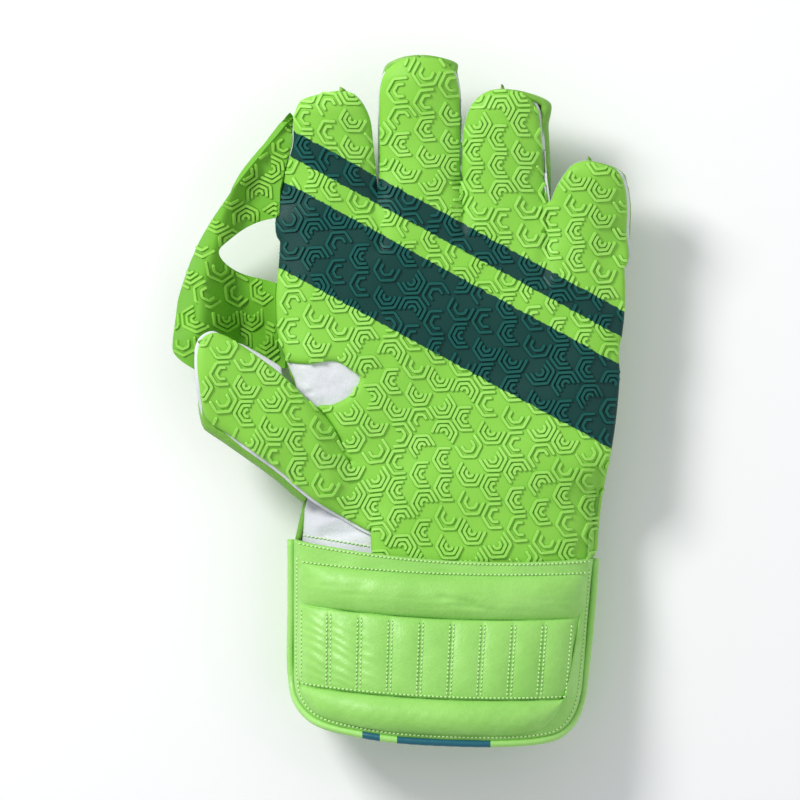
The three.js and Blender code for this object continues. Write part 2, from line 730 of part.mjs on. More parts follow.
const webBody = webSheet
  .subtract(webHole)
  .intersect(webPlan)
  .subtract(faceSlab(-tall, tall).intersect(facePlan(liningProud + gap)))
  .subtract(handBody(-gap))
  .subtract(fingerBody(fingers.index, faceLevel, -gap, -0.3))
  .subtract(fingerBody(fingers.thumb, thumbLevel, -gap, -0.1))
  .subtract(thumbSpace);

// Cuff. Its rows sweep up towards the thumb side: y = row + sweep * ((x - low) / 100)^2.
const cuffLowX = 52;
const swept = (y, sweep) => (x) => y + sweep * ((x - cuffLowX) / 100) ** 2;
const cuffTopLine = swept(cuffTopY, 9.8);
const creaseLine = swept(cuffTopY - upperRollWidth - 2.2, 7.2);
const stitchLine = swept(cuffTopY - upperRollWidth - channelPanelWidth - 4, 6.8);
const cuffPower = 2.5;
const cuffArch = (t) => (1 - Math.min(1, Math.abs(t)) ** cuffPower) ** (1 / cuffPower);
const pipingRoom = cuffPipingRadius * 2 + gap;
const cuffMouthY = cuffTopY - cuffLength + pipingRoom;
const cuffSideY = cuffTopY + 9;

const cuffShare = (y) => clamp((cuffTopY - y) / (cuffTopY - cuffMouthY), -0.2, 1.1);

// The wall's left and right limits; the little-finger side draws in towards the mouth.
function cuffSpan(y) {
  const left = cuffAxisX - cuffWidth / 2 + pipingRoom;
  const right = cuffAxisX + cuffWidth / 2 - pipingRoom - cuffTaper * clamp(cuffShare(y), 0, 1);
  return { centre: (left + right) / 2, half: (right - left) / 2 };
}

const cuffApex = (y) => mix(cuffWristHeight, cuffMouthHeight, smooth(cuffShare(y)));

// Outer surface of the cuff's front
function cuffLevel(x, y) {
  const span = cuffSpan(y);
  return cuffSeamHeight + (cuffApex(y) - cuffSeamHeight) * cuffArch((x - span.centre) / span.half);
}

// Outer line of the piping in plan: straight sides and round corners at the mouth. across is a
// share of the cuff's width from its axis, and down is a share of its side length.
const cuffOutlineRows = [
  { across: -0.5, down: -0.2 }, { across: -0.5, down: 0.3 }, { across: -0.5, down: 0.64 },
  { across: -0.483, down: 0.78 }, { across: -0.442, down: 0.864 }, { across: -0.394, down: 0.908 },
  { across: -0.26, down: 0.957 }, { across: -0.139, down: 0.982 }, { across: 0.02, down: 0.996 },
  { across: 0.18, down: 1 }, { across: 0.31, down: 0.987 }, { across: 0.372, down: 0.962 },
  { across: 0.42, down: 0.898 }, { across: 0.452, down: 0.79 }, { across: 0.4685, down: 0.62 },
  { across: 0.483, down: 0.4 }, { across: 0.4965, down: 0.15 }, { across: 0.504, down: -0.2 },
];

function cuffOutline(inset, divisions = 40) {
  const sideLength = cuffSideY - (cuffTopY - cuffLength);
  const curve = new THREE.CatmullRomCurve3(cuffOutlineRows.map((r) => new THREE.Vector3(
    cuffAxisX + r.across * cuffWidth, cuffSideY - r.down * sideLength, 0)), false, 'centripetal');
  const points = [];
  for (let i = 0; i <= divisions; i += 1) {
    const p = curve.getPoint(i / divisions);
    const t = curve.getTangent(i / divisions);
    points.push(new THREE.Vector2(p.x - t.y * inset, p.y + t.x * inset));
  }
  return points;
}

// Everything below the cuff's top edge
function belowTopLine(grow = 0) {
  const points = [];
  const left = cuffAxisX - cuffWidth * 0.6;
  const right = cuffAxisX + cuffWidth * 0.6;
  for (let i = 0; i <= 10; i += 1) {
    const x = mix(left, right, i / 10);
    points.push(new THREE.Vector2(x, cuffTopLine(x) + grow));
  }
  points.push(new THREE.Vector2(right, -wide), new THREE.Vector2(left, -wide));
  return prism(points, floor, tall);
}

function cuffRing(inset, start, end) {
  return ringBody(26, 6, (angle, share, radius) => {
    const y = mix(start, end, share);
    const span = cuffSpan(y);
    const half = span.half - inset;
    const c = Math.cos(angle);
    const s = Math.sin(angle);
    const x = span.centre + half * radius * Math.sign(c) * Math.abs(c) ** (2 / cuffPower);
    const edge = Math.abs(s) ** (2 / cuffPower) * radius;
    const deep = inset - cuffBottomFlat;
    const z = mix(cuffSeamHeight, s > 0 ? cuffApex(y) - inset : deep, edge);
    return [x, y, Math.max(inset, z)];
  });
}

const cuffOuter = (grow) => cuffRing(-grow, cuffTopY + runOut, cuffMouthY - runOut / 2);
const cuffBore = (inset) => cuffRing(inset, cuffTopY + boreRunOut, cuffMouthY - boreRunOut / 2);
const cuffWall = cuffOuter(0)
  .subtract(cuffBore(cuffLeather))
  .intersect(belowTopLine())
  .intersect(prism(cuffOutline(pipingRoom + gap / 2), floor, tall));
const seamBlock = (low, high) => prism([
  new THREE.Vector2(-wide, -wide), new THREE.Vector2(wide, -wide),
  new THREE.Vector2(wide, 0), new THREE.Vector2(-wide, 0)], low, high);
const cuffFrontBody = cuffWall.intersect(seamBlock(cuffSeamHeight + gap / 2, tall));
const cuffBackBody = cuffWall.intersect(seamBlock(floor, cuffSeamHeight - gap / 2));

// Piping: a round cord along the border of the front panel
function pipingBody(radius) {
  const plan = cuffOutline(cuffPipingRadius, 60).filter((p) => p.y < cuffTopLine(p.x));
  const first = new THREE.Vector2(plan[0].x, cuffTopLine(plan[0].x));
  const end = plan[plan.length - 1];
  const last = new THREE.Vector2(end.x, cuffTopLine(end.x));
  const path = [first, ...plan, last].map((p) => {
    const span = cuffSpan(p.y);
    const inward = span.centre + (p.x - span.centre) * (1 - cuffPipingRadius / span.half / 2);
    return new THREE.Vector3(p.x, p.y, Math.max(cuffSeamHeight, cuffLevel(inward, p.y) - cuffLeather / 2));
  });
  const curve = new THREE.CatmullRomCurve3(path, false, 'centripetal');
  const section = new THREE.Shape();
  const sides = 8;
  for (let i = 0; i < sides; i += 1) {
    const a = (i / sides) * Math.PI * 2;
    const method = i === 0 ? 'moveTo' : 'lineTo';
    section[method](radius * Math.cos(a), radius * Math.sin(a));
  }
  return solid(new THREE.ExtrudeGeometry(section, {
    steps: 34, bevelEnabled: false, extrudePath: curve,
  }));
}

// Padded areas on the front panel: a slab on the arch, domed between its borders
function cuffPad(upper, lower, height, columns, rows, dome, rightMargin = rollRightMargin) {
  const left = cuffAxisX - cuffWidth / 2 + pipingRoom + padLeftMargin;
  const right = cuffAxisX + cuffWidth / 2 - pipingRoom - rightMargin;
  return slab(columns, rows, (u, v, w) => {
    const y = mix(lower(mix(left, right, u)), upper(mix(left, right, u)), v);
    const x = mix(left, right - cuffTaper * clamp(cuffShare(y), 0, 1), u);
    const base = cuffLevel(x, y);
    return [x, y, w > 0.5 ? base + padRoot + height * dome(u, v) : base - padRoot];
  }).subtract(cuffOuter(gap));
}
const domed = (u, v) => (Math.sin(Math.PI * v) ** 0.6) * (Math.sin(Math.PI * u) ** 0.25);
const channelled = (u, v) => 0.6 * (Math.sin(Math.PI * v) ** 0.3)
  + 0.4 * Math.abs(Math.sin(Math.PI * u * channelCount)) ** 0.6 * (Math.sin(Math.PI * v) ** 0.3);

const below = (line, distance) => (x) => line(x) - distance;
const seamMargin = 2.5;
const padGap = 0.4;
const upperRollBody = cuffPad(
  below(cuffTopLine, seamMargin), below(creaseLine, -padGap), upperRollHeight, 14, 5, domed);
const channelPanelBody = cuffPad(below(creaseLine, padGap), below(stitchLine, -padGap / 2),
  channelPanelHeight, channelCount * 2, 4, channelled, panelRightMargin);
const lowerRollBody = cuffPad(
  below(stitchLine, padGap), below(stitchLine, lowerRollWidth), lowerRollHeight, 14, 4, domed)
  .intersect(prism(cuffOutline(pipingRoom + padLeftMargin), floor, tall));

// Colours
const rubberGreen = 0x8ecf52;
const leatherGreen = 0x9acf62;
const backGreen = 0x86bd4c;
const white = 0xdcdfe0;

function sheetMaterial(colour, roughness) {
  return new THREE.MeshStandardMaterial({ color: colour, roughness, metalness: 0 });
}

const glove = new THREE.Group();

function addPiece(name, manifold, colour, roughness) {
  const mesh = new THREE.Mesh(bodyOf(manifold), sheetMaterial(colour, roughness));
  mesh.name = name;
  glove.add(mesh);
}

// The palm's sheets tuck inside the cuff, and the back of the hand meets its edge.
const outsideCuff = belowTopLine(gap)
  .subtract(cuffBore(cuffLeather + gap))
  .add(pipingBody(cuffPipingRadius + gap));

addPiece('palm_face', faceBody.subtract(outsideCuff), rubberGreen, 0.55);
addPiece('palm_lining', liningBody.subtract(outsideCuff), white, 0.7);
addPiece('thumb_face', thumbFaceBody, rubberGreen, 0.55);
addPiece('thumb_lining', thumbLiningBody, white, 0.7);
addPiece('wrist_gusset', gussetBody.subtract(outsideCuff), white, 0.7);
for (const name of fingerNames) addPiece(`${name}_shell`, shells[name], backGreen, 0.5);
addPiece('thumb_shell', thumbShellBody, backGreen, 0.5);
addPiece('back_of_hand', backBody.subtract(belowTopLine(gap)), backGreen, 0.5);
addPiece('web', webBody, rubberGreen, 0.55);
addPiece('cuff_front', cuffFrontBody, leatherGreen, 0.45);
addPiece('cuff_upper_roll', upperRollBody, leatherGreen, 0.45);
addPiece('cuff_channel_panel', channelPanelBody, leatherGreen, 0.45);
addPiece('cuff_lower_roll', lowerRollBody, leatherGreen, 0.45);
addPiece('cuff_back', cuffBackBody, leatherGreen, 0.5);
addPiece('cuff_piping', pipingBody(cuffPipingRadius), leatherGreen, 0.45);

export default glove;
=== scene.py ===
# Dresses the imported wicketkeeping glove: ribbed rubber, padded leather, white leather and stitching.
import json
import math

import bmesh
import bpy
import numpy as np
from bpy.props import FloatProperty, FloatVectorProperty, PointerProperty
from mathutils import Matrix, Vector
from mathutils.bvhtree import BVHTree
from mathutils.geometry import delaunay_2d_cdt

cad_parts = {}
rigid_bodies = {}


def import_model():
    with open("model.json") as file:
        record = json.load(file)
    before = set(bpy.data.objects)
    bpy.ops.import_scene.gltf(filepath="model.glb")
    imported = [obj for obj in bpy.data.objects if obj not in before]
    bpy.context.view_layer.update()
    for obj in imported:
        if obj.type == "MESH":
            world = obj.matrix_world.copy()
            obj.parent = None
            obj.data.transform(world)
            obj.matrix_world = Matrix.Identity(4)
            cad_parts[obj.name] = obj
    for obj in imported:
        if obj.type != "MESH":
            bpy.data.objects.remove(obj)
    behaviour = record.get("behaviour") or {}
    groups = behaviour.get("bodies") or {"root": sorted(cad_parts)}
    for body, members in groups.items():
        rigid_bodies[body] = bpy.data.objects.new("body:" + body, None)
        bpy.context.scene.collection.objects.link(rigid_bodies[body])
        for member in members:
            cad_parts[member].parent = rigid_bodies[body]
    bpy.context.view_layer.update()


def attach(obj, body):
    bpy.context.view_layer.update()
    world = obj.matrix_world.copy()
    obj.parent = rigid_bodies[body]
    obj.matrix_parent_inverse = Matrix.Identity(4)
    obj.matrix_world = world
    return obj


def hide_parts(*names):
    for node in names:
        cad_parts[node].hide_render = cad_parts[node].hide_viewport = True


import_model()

bl_info = {
    "name": "Wicketkeeping glove",
    "version": (1, 0, 0),
    "blender": (4, 5, 0),
    "location": "3D View > Sidebar > Glove",
    "description": "Dresses a wicketkeeping glove with ribbed rubber, padded leather and stitching",
    "category": "Add Mesh",
}

# Every length below is in millimetres, as in the part's source, and becomes metres in the meshes.
MM = 0.001
RUBBER = 2.4
LINING = 1.4
SHELL = 2.6
CUFF_LEATHER = 2.5
WEB_RUBBER = 2.8
GAP = 0.3
LINING_TOP = -RUBBER - GAP
LINING_BOTTOM = LINING_TOP - LINING

PALM_WIDTH = 159
PALM_LENGTH = 152.4
PALM_AXIS_X = 22.4
PALM_WRIST_Y = -72.4
PALM_HEIGHT = 44
PALM_CUP = 5
PALM_CUP_LENGTH = 46
PALM_EDGE_DROP = 4
PALM_EDGE_FROM = 0.78
PALM_EDGE_SPAN = 0.24
PALM_TUCK = 7
CUTOUT_LENGTH = 38
CUTOUT_HEIGHT = 20.6
CUTOUT_TIP = (-18.6, 10.2)

FINGER_DEPTH = 30
FINGER_TIP_DEPTH = 24
FINGER_CROWN = 4.5
FINGER_CURL = 11
FINGER_ROLL_DEPTH = 3
FINGER_ROOF = 8
FINGER_TIP_DROP = 3
FINGER_BLUNT_FROM = 0.76
SHELL_POWER = 0.75
THUMB_RISE = 14

HAND_ROOF = 18
HAND_POWER = 0.7
BOTTOM_FLAT = 3
WRIST_SEAM_HEIGHT = 24
WRIST_RISE = 19
WRIST_Y = -38
WRIST_BLEND = 26
WRIST_AXIS_X = 22
WRIST_HALF_WIDTH = 68

WEB_REACH = 48.7
WEB_LENGTH = 116
WEB_CREST_HEIGHT = 46
WEB_CORNER = (-56.6, 15)
WEB_BULGE = 7.6
WEB_HOLE_WIDTH = 28
WEB_HOLE_HEIGHT = 27
WEB_HOLE_Y = 70

CUFF_WIDTH = 145.2
CUFF_LENGTH = 85.3
CUFF_TAPER = 7.5
CUFF_AXIS_X = 20.2
CUFF_TOP_Y = -75.1
CUFF_SEAM_HEIGHT = 26
CUFF_WRIST_HEIGHT = 48
CUFF_MOUTH_HEIGHT = 56
CUFF_LOW_X = 52
PIPING_RADIUS = 1.65
PIPING_ROOM = 2 * PIPING_RADIUS + GAP
UPPER_ROLL_WIDTH = 24.5
UPPER_ROLL_HEIGHT = 6
CHANNEL_PANEL_WIDTH = 35
CHANNEL_PANEL_HEIGHT = 3.6
CHANNELS = 9
LOWER_ROLL_WIDTH = 16.5
LOWER_ROLL_HEIGHT = 5.5
PAD_LEFT_MARGIN = 1.6
ROLL_RIGHT_MARGIN = 1.4
PANEL_RIGHT_MARGIN = 5.4

# along is a share of the finger's length; left and right are shares of its width.
FINGER_COLUMNS = {"along": 0, "left": 1, "right": 2}
INDEX_ROWS = ((-0.1, 0.64, 0.57), (0.28, 0.624, 0.553), (0.42, 0.57, 0.53), (0.61, 0.476, 0.5),
              (0.8, 0.462, 0.458), (0.92, 0.39, 0.36), (0.97, 0.19, 0.28), (1, -0.15, 0.15))
MIDDLE_ROWS = ((-0.1, 0.505, 0.51), (0.25, 0.5, 0.51), (0.67, 0.5, 0.5), (0.8, 0.489, 0.485),
               (0.89, 0.44, 0.44), (0.955, 0.33, 0.36), (0.99, 0.19, 0.24), (1, -0.06, 0.06))
RING_ROWS = ((-0.1, 0.51, 0.51), (0.49, 0.503, 0.512), (0.7, 0.49, 0.487), (0.81, 0.45, 0.46),
             (0.9, 0.378, 0.4), (0.96, 0.27, 0.3), (0.992, 0.15, 0.14), (1, 0.04, -0.04))
LITTLE_ROWS = ((-0.1, 0.52, 0.476), (0.29, 0.515, 0.495), (0.55, 0.477, 0.5), (0.725, 0.4, 0.47),
               (0.86, 0.3, 0.4), (0.96, 0.19, 0.2), (1, 0.02, -0.02))
THUMB_ROWS = ((-0.2, 0.2, 0.02), (0, 0.36, 0.12), (0.14, 0.42, 0.224), (0.24, 0.43, 0.358),
              (0.33, 0.425, 0.437), (0.46, 0.45, 0.46), (0.62, 0.49, 0.485), (0.74, 0.53, 0.468),
              (0.81, 0.42, 0.45), (0.87, 0.27, 0.43), (0.93, 0.12, 0.4), (0.98, -0.05, 0.33),
              (1, -0.2, 0.2))

# across and along are shares of the palm's width and length, from its axis and its wrist end.
PALM_RIGHT_ROWS = ((0.02, 0.437), (0.11, 0.443), (0.22, 0.457), (0.335, 0.478), (0.445, 0.4925),
                   (0.55, 0.5), (0.627, 0.498), (0.673, 0.507), (0.78, 0.516), (0.91, 0.512))
PALM_WEB_ROWS = ((1.08, -0.49), (0.95, -0.491), (0.88, -0.495), (0.8, -0.503), (0.72, -0.501),
                 (0.66, -0.495), (0.6, -0.474))
PALM_THUMB_ROWS = ((0.54, -0.45), (0.46, -0.43), (0.37, -0.372), (0.29, -0.287))
CUTOUT_ROWS = ((0, 0), (0.1, 0.17), (0.3, 0.37), (0.62, 0.31), (0.84, 0.34), (1.04, 0.42),
               (0.95, -0.3), (0.7, -0.75), (0.47, -0.61), (0.34, -0.6), (0.12, -0.38))
# along is a share of the palm's length; left and right are shares of its width, and bottom is a
# share of its height.
HAND_ROWS = ((-0.05, 0.452, 0.42, 0), (0.05, 0.448, 0.43, 0), (0.16, 0.424, 0.44, 0),
             (0.25, 0.405, 0.455, 0),
             (0.42, 0.43, 0.485, 0), (0.6, 0.475, 0.495, 0), (0.8, 0.495, 0.51, 0.03),
             (0.95, 0.488, 0.515, 0.12), (1.15, 0.488, 0.515, 0.28))
WEB_COLUMNS = ("up", "out", "seam_up", "rim", "crest_at", "crest", "valley_at", "valley", "seam")
WEB_ROWS = ((1, 0, 1, 0.94, 0.4, 0.97, 0.7, 0.93, 0.9),
            (0.86, 0.38, 0.9, 0.9, 0.3, 1, 0.62, 0.9, 0.9),
            (0.69, 0.62, 0.8, 0.7, 0.28, 0.98, 0.6, 0.82, 0.88),
            (0.5, 0.8, 0.67, 0.52, 0.26, 0.86, 0.6, 0.74, 0.86),
            (0.31, 0.95, 0.4, 0.44, 0.24, 0.76, 0.6, 0.5, 0.84),
            (0.12, 1.01, 0.18, 0.4, 0.27, 0.74, 0.7, 0.24, 0.84),
            (-0.08, 1.04, 0, 0.36, 0.3, 0.6, 0.7, 0.22, 0.7))
WEB_RIM_ROWS = ((1.03, -0.115), (1, -0.115), (0.86, 0.148), (0.69, 0.466), (0.5, 0.76), (0.31, 0.936),
                (0.13, 1.037), (0.065, 1.01), (0.02, 0.912), (-0.03, 0.7), (-0.12, 0.4))
WEB_HOLE_ROWS = ((-0.3, 0.53), (0.15, 0.52), (0.5, 0.4), (0.83, 0.16), (1, -0.03), (0.95, -0.18),
                 (0.7, -0.38), (0.33, -0.5), (-0.3, -0.58))
CUFF_OUTLINE_ROWS = ((-0.5, -0.2), (-0.5, 0.3), (-0.5, 0.64), (-0.483, 0.78), (-0.442, 0.864),
                     (-0.394, 0.908), (-0.26, 0.957), (-0.139, 0.982), (0.02, 0.996), (0.18, 1),
                     (0.31, 0.987), (0.372, 0.962), (0.42, 0.898), (0.452, 0.79), (0.4685, 0.62),
                     (0.483, 0.4), (0.4965, 0.15), (0.504, -0.2))


def mix(a, b, t):
    return a + (b - a) * t


def smooth(t):
    c = np.clip(t, 0, 1)
    return c * c * (3 - 2 * c)


def column(rows, at, place, share):
    """The value of a column at a share, by straight lines between the rows."""
    keys = [row[at] for row in rows]
    values = [row[place] for row in rows]
    if keys[0] > keys[-1]:
        keys.reverse()
        values.reverse()
    return np.interp(share, keys, values)


def unit(v):
    return v / np.maximum(np.linalg.norm(v, axis=-1, keepdims=True), 1e-9)


# Plan lines
def smooth_line(points, divisions, closed):
    """A centripetal curve through points, as in the part's source."""
    points = np.asarray(points, float)
    count = len(points)
    spans = count if closed else count - 1
    result = []
    for k in range(divisions + (0 if closed else 1)):
        at = spans * k / divisions
        i = min(int(at), spans - 1)
        w = at - i
        if closed:
            p0, p1, p2, p3 = (points[(i + j) % count] for j in (-1, 0, 1, 2))
        else:
            p1, p2 = points[i], points[i + 1]
            p0 = points[i - 1] if i > 0 else 2 * p1 - p2
            p3 = points[i + 2] if i + 2 < count else 2 * p2 - p1
        d0, d1, d2 = (max(np.linalg.norm(b - a) ** 0.5, 1e-4) for a, b in ((p0, p1), (p1, p2), (p2, p3)))
        t1 = ((p1 - p0) / d0 - (p2 - p0) / (d0 + d1) + (p2 - p1) / d1) * d1
        t2 = ((p2 - p1) / d1 - (p3 - p1) / (d1 + d2) + (p3 - p2) / d2) * d1
        c2 = -3 * p1 + 3 * p2 - 2 * t1 - t2
        c3 = 2 * p1 - 2 * p2 + t1 + t2
        result.append(p1 + t1 * w + c2 * w * w + c3 * w ** 3)
    return np.array(result)


class Finger:
    def __init__(self, x, y, lean, length, width, rows, proud, lining, square, proud_fade=0.12,
                 lobes=()):
        self.root = np.array((x, y), float)
        angle = math.radians(lean)
        self.dir = np.array((math.cos(angle), math.sin(angle)))
        self.side = np.array((math.sin(angle), -math.cos(angle)))
        self.length = length
        self.width = width
        self.rows = rows
        self.proud_left, self.proud_right, self.proud_tip = proud
        self.lining_left, self.lining_right = lining
        self.square = square
        self.proud_fade = proud_fade
        self.lobes = lobes

    def plan(self, along, across):
        along = np.asarray(along, float)[..., None]
        across = np.asarray(across, float)[..., None]
        return self.root + along * self.dir + across * self.side

    def along(self, x, y):
        return (x - self.root[0]) * self.dir[0] + (y - self.root[1]) * self.dir[1]

    def across(self, x, y):
        return (x - self.root[0]) * self.side[0] + (y - self.root[1]) * self.side[1]

    def edge(self, name, share):
        return column(self.rows, 0, FINGER_COLUMNS[name], share)

    def outline(self, grow=0.0, grow_right=None, divisions=132):
        grow_right = grow if grow_right is None else grow_right
        left = [(r[0] * self.length, -r[1] * self.width) for r in self.rows]
        right = [(r[0] * self.length, r[2] * self.width) for r in self.rows[:-1]][::-1]
        points = np.array(left + right)
        ahead = np.vstack((points[1:], points[-1:]))
        behind = np.vstack((points[:1], points[:-1]))
        tangent = unit(ahead - behind)
        on_right = (points[:, 1] > 0) & (points[:, 0] < self.length * 0.945)
        g = np.where(on_right, grow_right, grow)
        moved = self.plan(points[:, 0] + tangent[:, 1] * g, points[:, 1] - tangent[:, 0] * g)
        return smooth_line(moved, divisions, True)


# The three proud shares are left, right and tip of the padded back; the two lining lengths are what
# the white leather shows beyond the rubber on the left and on the right; and the two square shares
# say how blunt the padded back ends beside its tip.
FINGERS = {
    "index": Finger(-31.5, 80, 90, 63, 38, INDEX_ROWS, (0.0, 0.0, -0.012), (0.1, 0.2), (0.1, 0.45)),
    "middle": Finger(9.05, 86, 90, 72.7, 37.5, MIDDLE_ROWS, (0.005, 0.012, 0.012), (0.5, 0.7), (0.8, 1.0),
                     lobes=(("left", 0.95, 0.04, 0.04), ("right", 0.96, 0.045, 0.12))),
    "ring": Finger(47.4, 75, 90, 68.8, 37, RING_ROWS, (0.0, 0.1, 0.0), (0.1, 1.3), (0.2, 0.9),
                   lobes=(("right", 0.93, 0.11, 0.1),)),
    "little": Finger(87, 66, 90, 44.7, 36.5, LITTLE_ROWS, (0.0, 0.055, -0.008), (0.1, 1.2), (0.2, 0.6)),
}
THUMB = Finger(-18.5, -43.4, 139.5, 102, 38, THUMB_ROWS, (0.12, 0.0, -0.004), (1.3, 2.6), (0.0, 0.0), 0.34)


def palm_y(share):
    return PALM_WRIST_Y + share * PALM_LENGTH


def palm_point(along, across):
    return np.array((PALM_AXIS_X + across * PALM_WIDTH, palm_y(along)))


THUMB_JOIN = (palm_point(0.29, -0.287), palm_point(0.0912, -0.2283))


def palm_outline():
    tuck = PALM_TUCK / PALM_LENGTH
    right = smooth_line([palm_point(*row) for row in PALM_RIGHT_ROWS], 60, False)
    web = smooth_line([palm_point(*row) for row in PALM_WEB_ROWS], 40, False)
    thumb = [palm_point(*row) for row in PALM_THUMB_ROWS]
    return np.vstack((palm_point(-tuck, -0.222), palm_point(-tuck, 0.41), right,
                      palm_point(1.08, 0.4), web, thumb, THUMB_JOIN[1]))


def cutout_outline():
    points = [(CUTOUT_TIP[0] - back * CUTOUT_LENGTH, CUTOUT_TIP[1] + up * CUTOUT_HEIGHT)
              for back, up in CUTOUT_ROWS]
    return smooth_line(points, 88, True)


def clipped(polygon, a, b, off=0.0):
    """The part of a polygon on the left of the line from a to b, moved off it by a distance."""
    d = unit(np.subtract(b, a))
    left = np.array((-d[1], d[0]))
    height = (polygon - np.asarray(a)) @ left - off
    kept = []
    for i in range(len(polygon)):
        j = (i + 1) % len(polygon)
        if height[i] >= 0:
            kept.append(polygon[i])
        if (height[i] >= 0) != (height[j] >= 0):
            kept.append(mix(polygon[i], polygon[j], height[i] / (height[i] - height[j])))
    return np.array(kept)


# Surface heights
def arch(t, power=2.6):
    return (1 - np.minimum(1, np.abs(t)) ** power) ** (1 / power)


def palm_level(x, y):
    cup = PALM_CUP * np.exp(-((x - PALM_AXIS_X) / (PALM_WIDTH * 0.3)) ** 2 - (y / PALM_CUP_LENGTH) ** 2)
    reach = np.abs(x - PALM_AXIS_X) / (PALM_WIDTH / 2)
    edge = PALM_EDGE_DROP * smooth((reach - PALM_EDGE_FROM) / PALM_EDGE_SPAN)
    wrist = WRIST_SEAM_HEIGHT + WRIST_RISE * arch((x - WRIST_AXIS_X) / WRIST_HALF_WIDTH)
    return mix(PALM_HEIGHT - cup - edge, wrist, smooth((WRIST_Y - y) / WRIST_BLEND + 0.5))


def finger_borders():
    row = list(FINGERS.values())
    return [(a.root[0] + a.width / 2 + b.root[0] - b.width / 2) / 2 for a, b in zip(row, row[1:])]


def face_level(x, y):
    x, y = np.broadcast_arrays(np.asarray(x, float), np.asarray(y, float))
    which = np.searchsorted(finger_borders(), x)
    row = list(FINGERS.values())
    axis = np.array([f.root[0] for f in row])[which]
    start = np.array([f.root[1] for f in row])[which]
    length = np.array([f.length for f in row])[which]
    width = np.array([f.width for f in row])[which]
    share = np.clip((y - start) / length, 0, 1.1)
    across = np.clip((x - axis) / (width / 2), -1.15, 1.15)
    reach = np.abs(x - PALM_AXIS_X) / (PALM_WIDTH / 2)
    lift = PALM_EDGE_DROP * smooth(share * 2) * smooth((reach - PALM_EDGE_FROM) / PALM_EDGE_SPAN)
    tip = FINGER_TIP_DROP * smooth((share - 0.85) / 0.15)
    return (palm_level(x, y) + lift + FINGER_CURL * share ** 1.5 - tip
            - FINGER_CROWN * across ** 2 * smooth(share * 3))


def thumb_level(x, y):
    along = THUMB.along(x, y)
    share = np.clip(along / THUMB.length, 0, 1.05)
    across = np.clip(THUMB.across(x, y) / (THUMB.width / 2), -1.2, 1.2)
    free = PALM_HEIGHT + THUMB_RISE * share ** 0.8 - FINGER_CROWN * across ** 2
    a, b = THUMB_JOIN
    d = unit(b - a)
    off = (x - a[0]) * d[1] - (y - a[1]) * d[0]
    return mix(palm_level(x, y), free, smooth(along / 24 + 0.35) * smooth(off / 13))


def unevenness(x, y, size, seed):
    """Slow soft waves between about -1 and 1 that make hand-made stuff look worn."""
    waves = np.random.default_rng(seed)
    total = 0
    for _ in range(6):
        angle = waves.uniform(0, math.tau)
        length = size * waves.uniform(0.7, 1.8)
        phase = waves.uniform(0, math.tau)
        total = total + np.sin((x * math.cos(angle) + y * math.sin(angle)) * math.tau / length + phase)
    return total / 3.2


def groove(x, y, a, b, width):
    """1 on the line from a to b, falling off to 0 at about twice the width."""
    a, b = np.asarray(a, float), np.asarray(b, float)
    d = b - a
    t = np.clip(((x - a[0]) * d[0] + (y - a[1]) * d[1]) / (d @ d), 0, 1)
    distance = np.hypot(x - a[0] - t * d[0], y - a[1] - t * d[1])
    return np.exp(-(distance / width) ** 2)


# Objects and meshes
def add_object(name, mesh):
    piece = bpy.data.objects.new(name, mesh)
    bpy.context.scene.collection.objects.link(piece)
    return piece


def finish_mesh(bm, name, closed=True):
    if closed:
        bmesh.ops.recalc_face_normals(bm, faces=bm.faces)
    mesh = bpy.data.meshes.new(name)
    bm.to_mesh(mesh)
    bm.free()
    mesh.shade_smooth()
    return mesh


def dress(piece, material, slot, *nodes, fill=None):
    """Gives a finished piece its material and body, and hides the nodes that it stands for; slot is not
    used.
    """
    piece.data.materials.clear()
    piece.data.materials.append(material)
    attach(piece, "root")
    if nodes:
        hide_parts(*nodes)
    return piece


def inside(points, polygon):
    x, y = points[:, 0], points[:, 1]
    result = np.zeros(len(points), bool)
    for (x1, y1), (x2, y2) in zip(polygon, np.roll(polygon, -1, axis=0)):
        if y1 == y2:
            continue
        crosses = (y1 > y) != (y2 > y)
        result ^= crosses & (x < (x2 - x1) * (y - y1) / (y2 - y1) + x1)
    return result


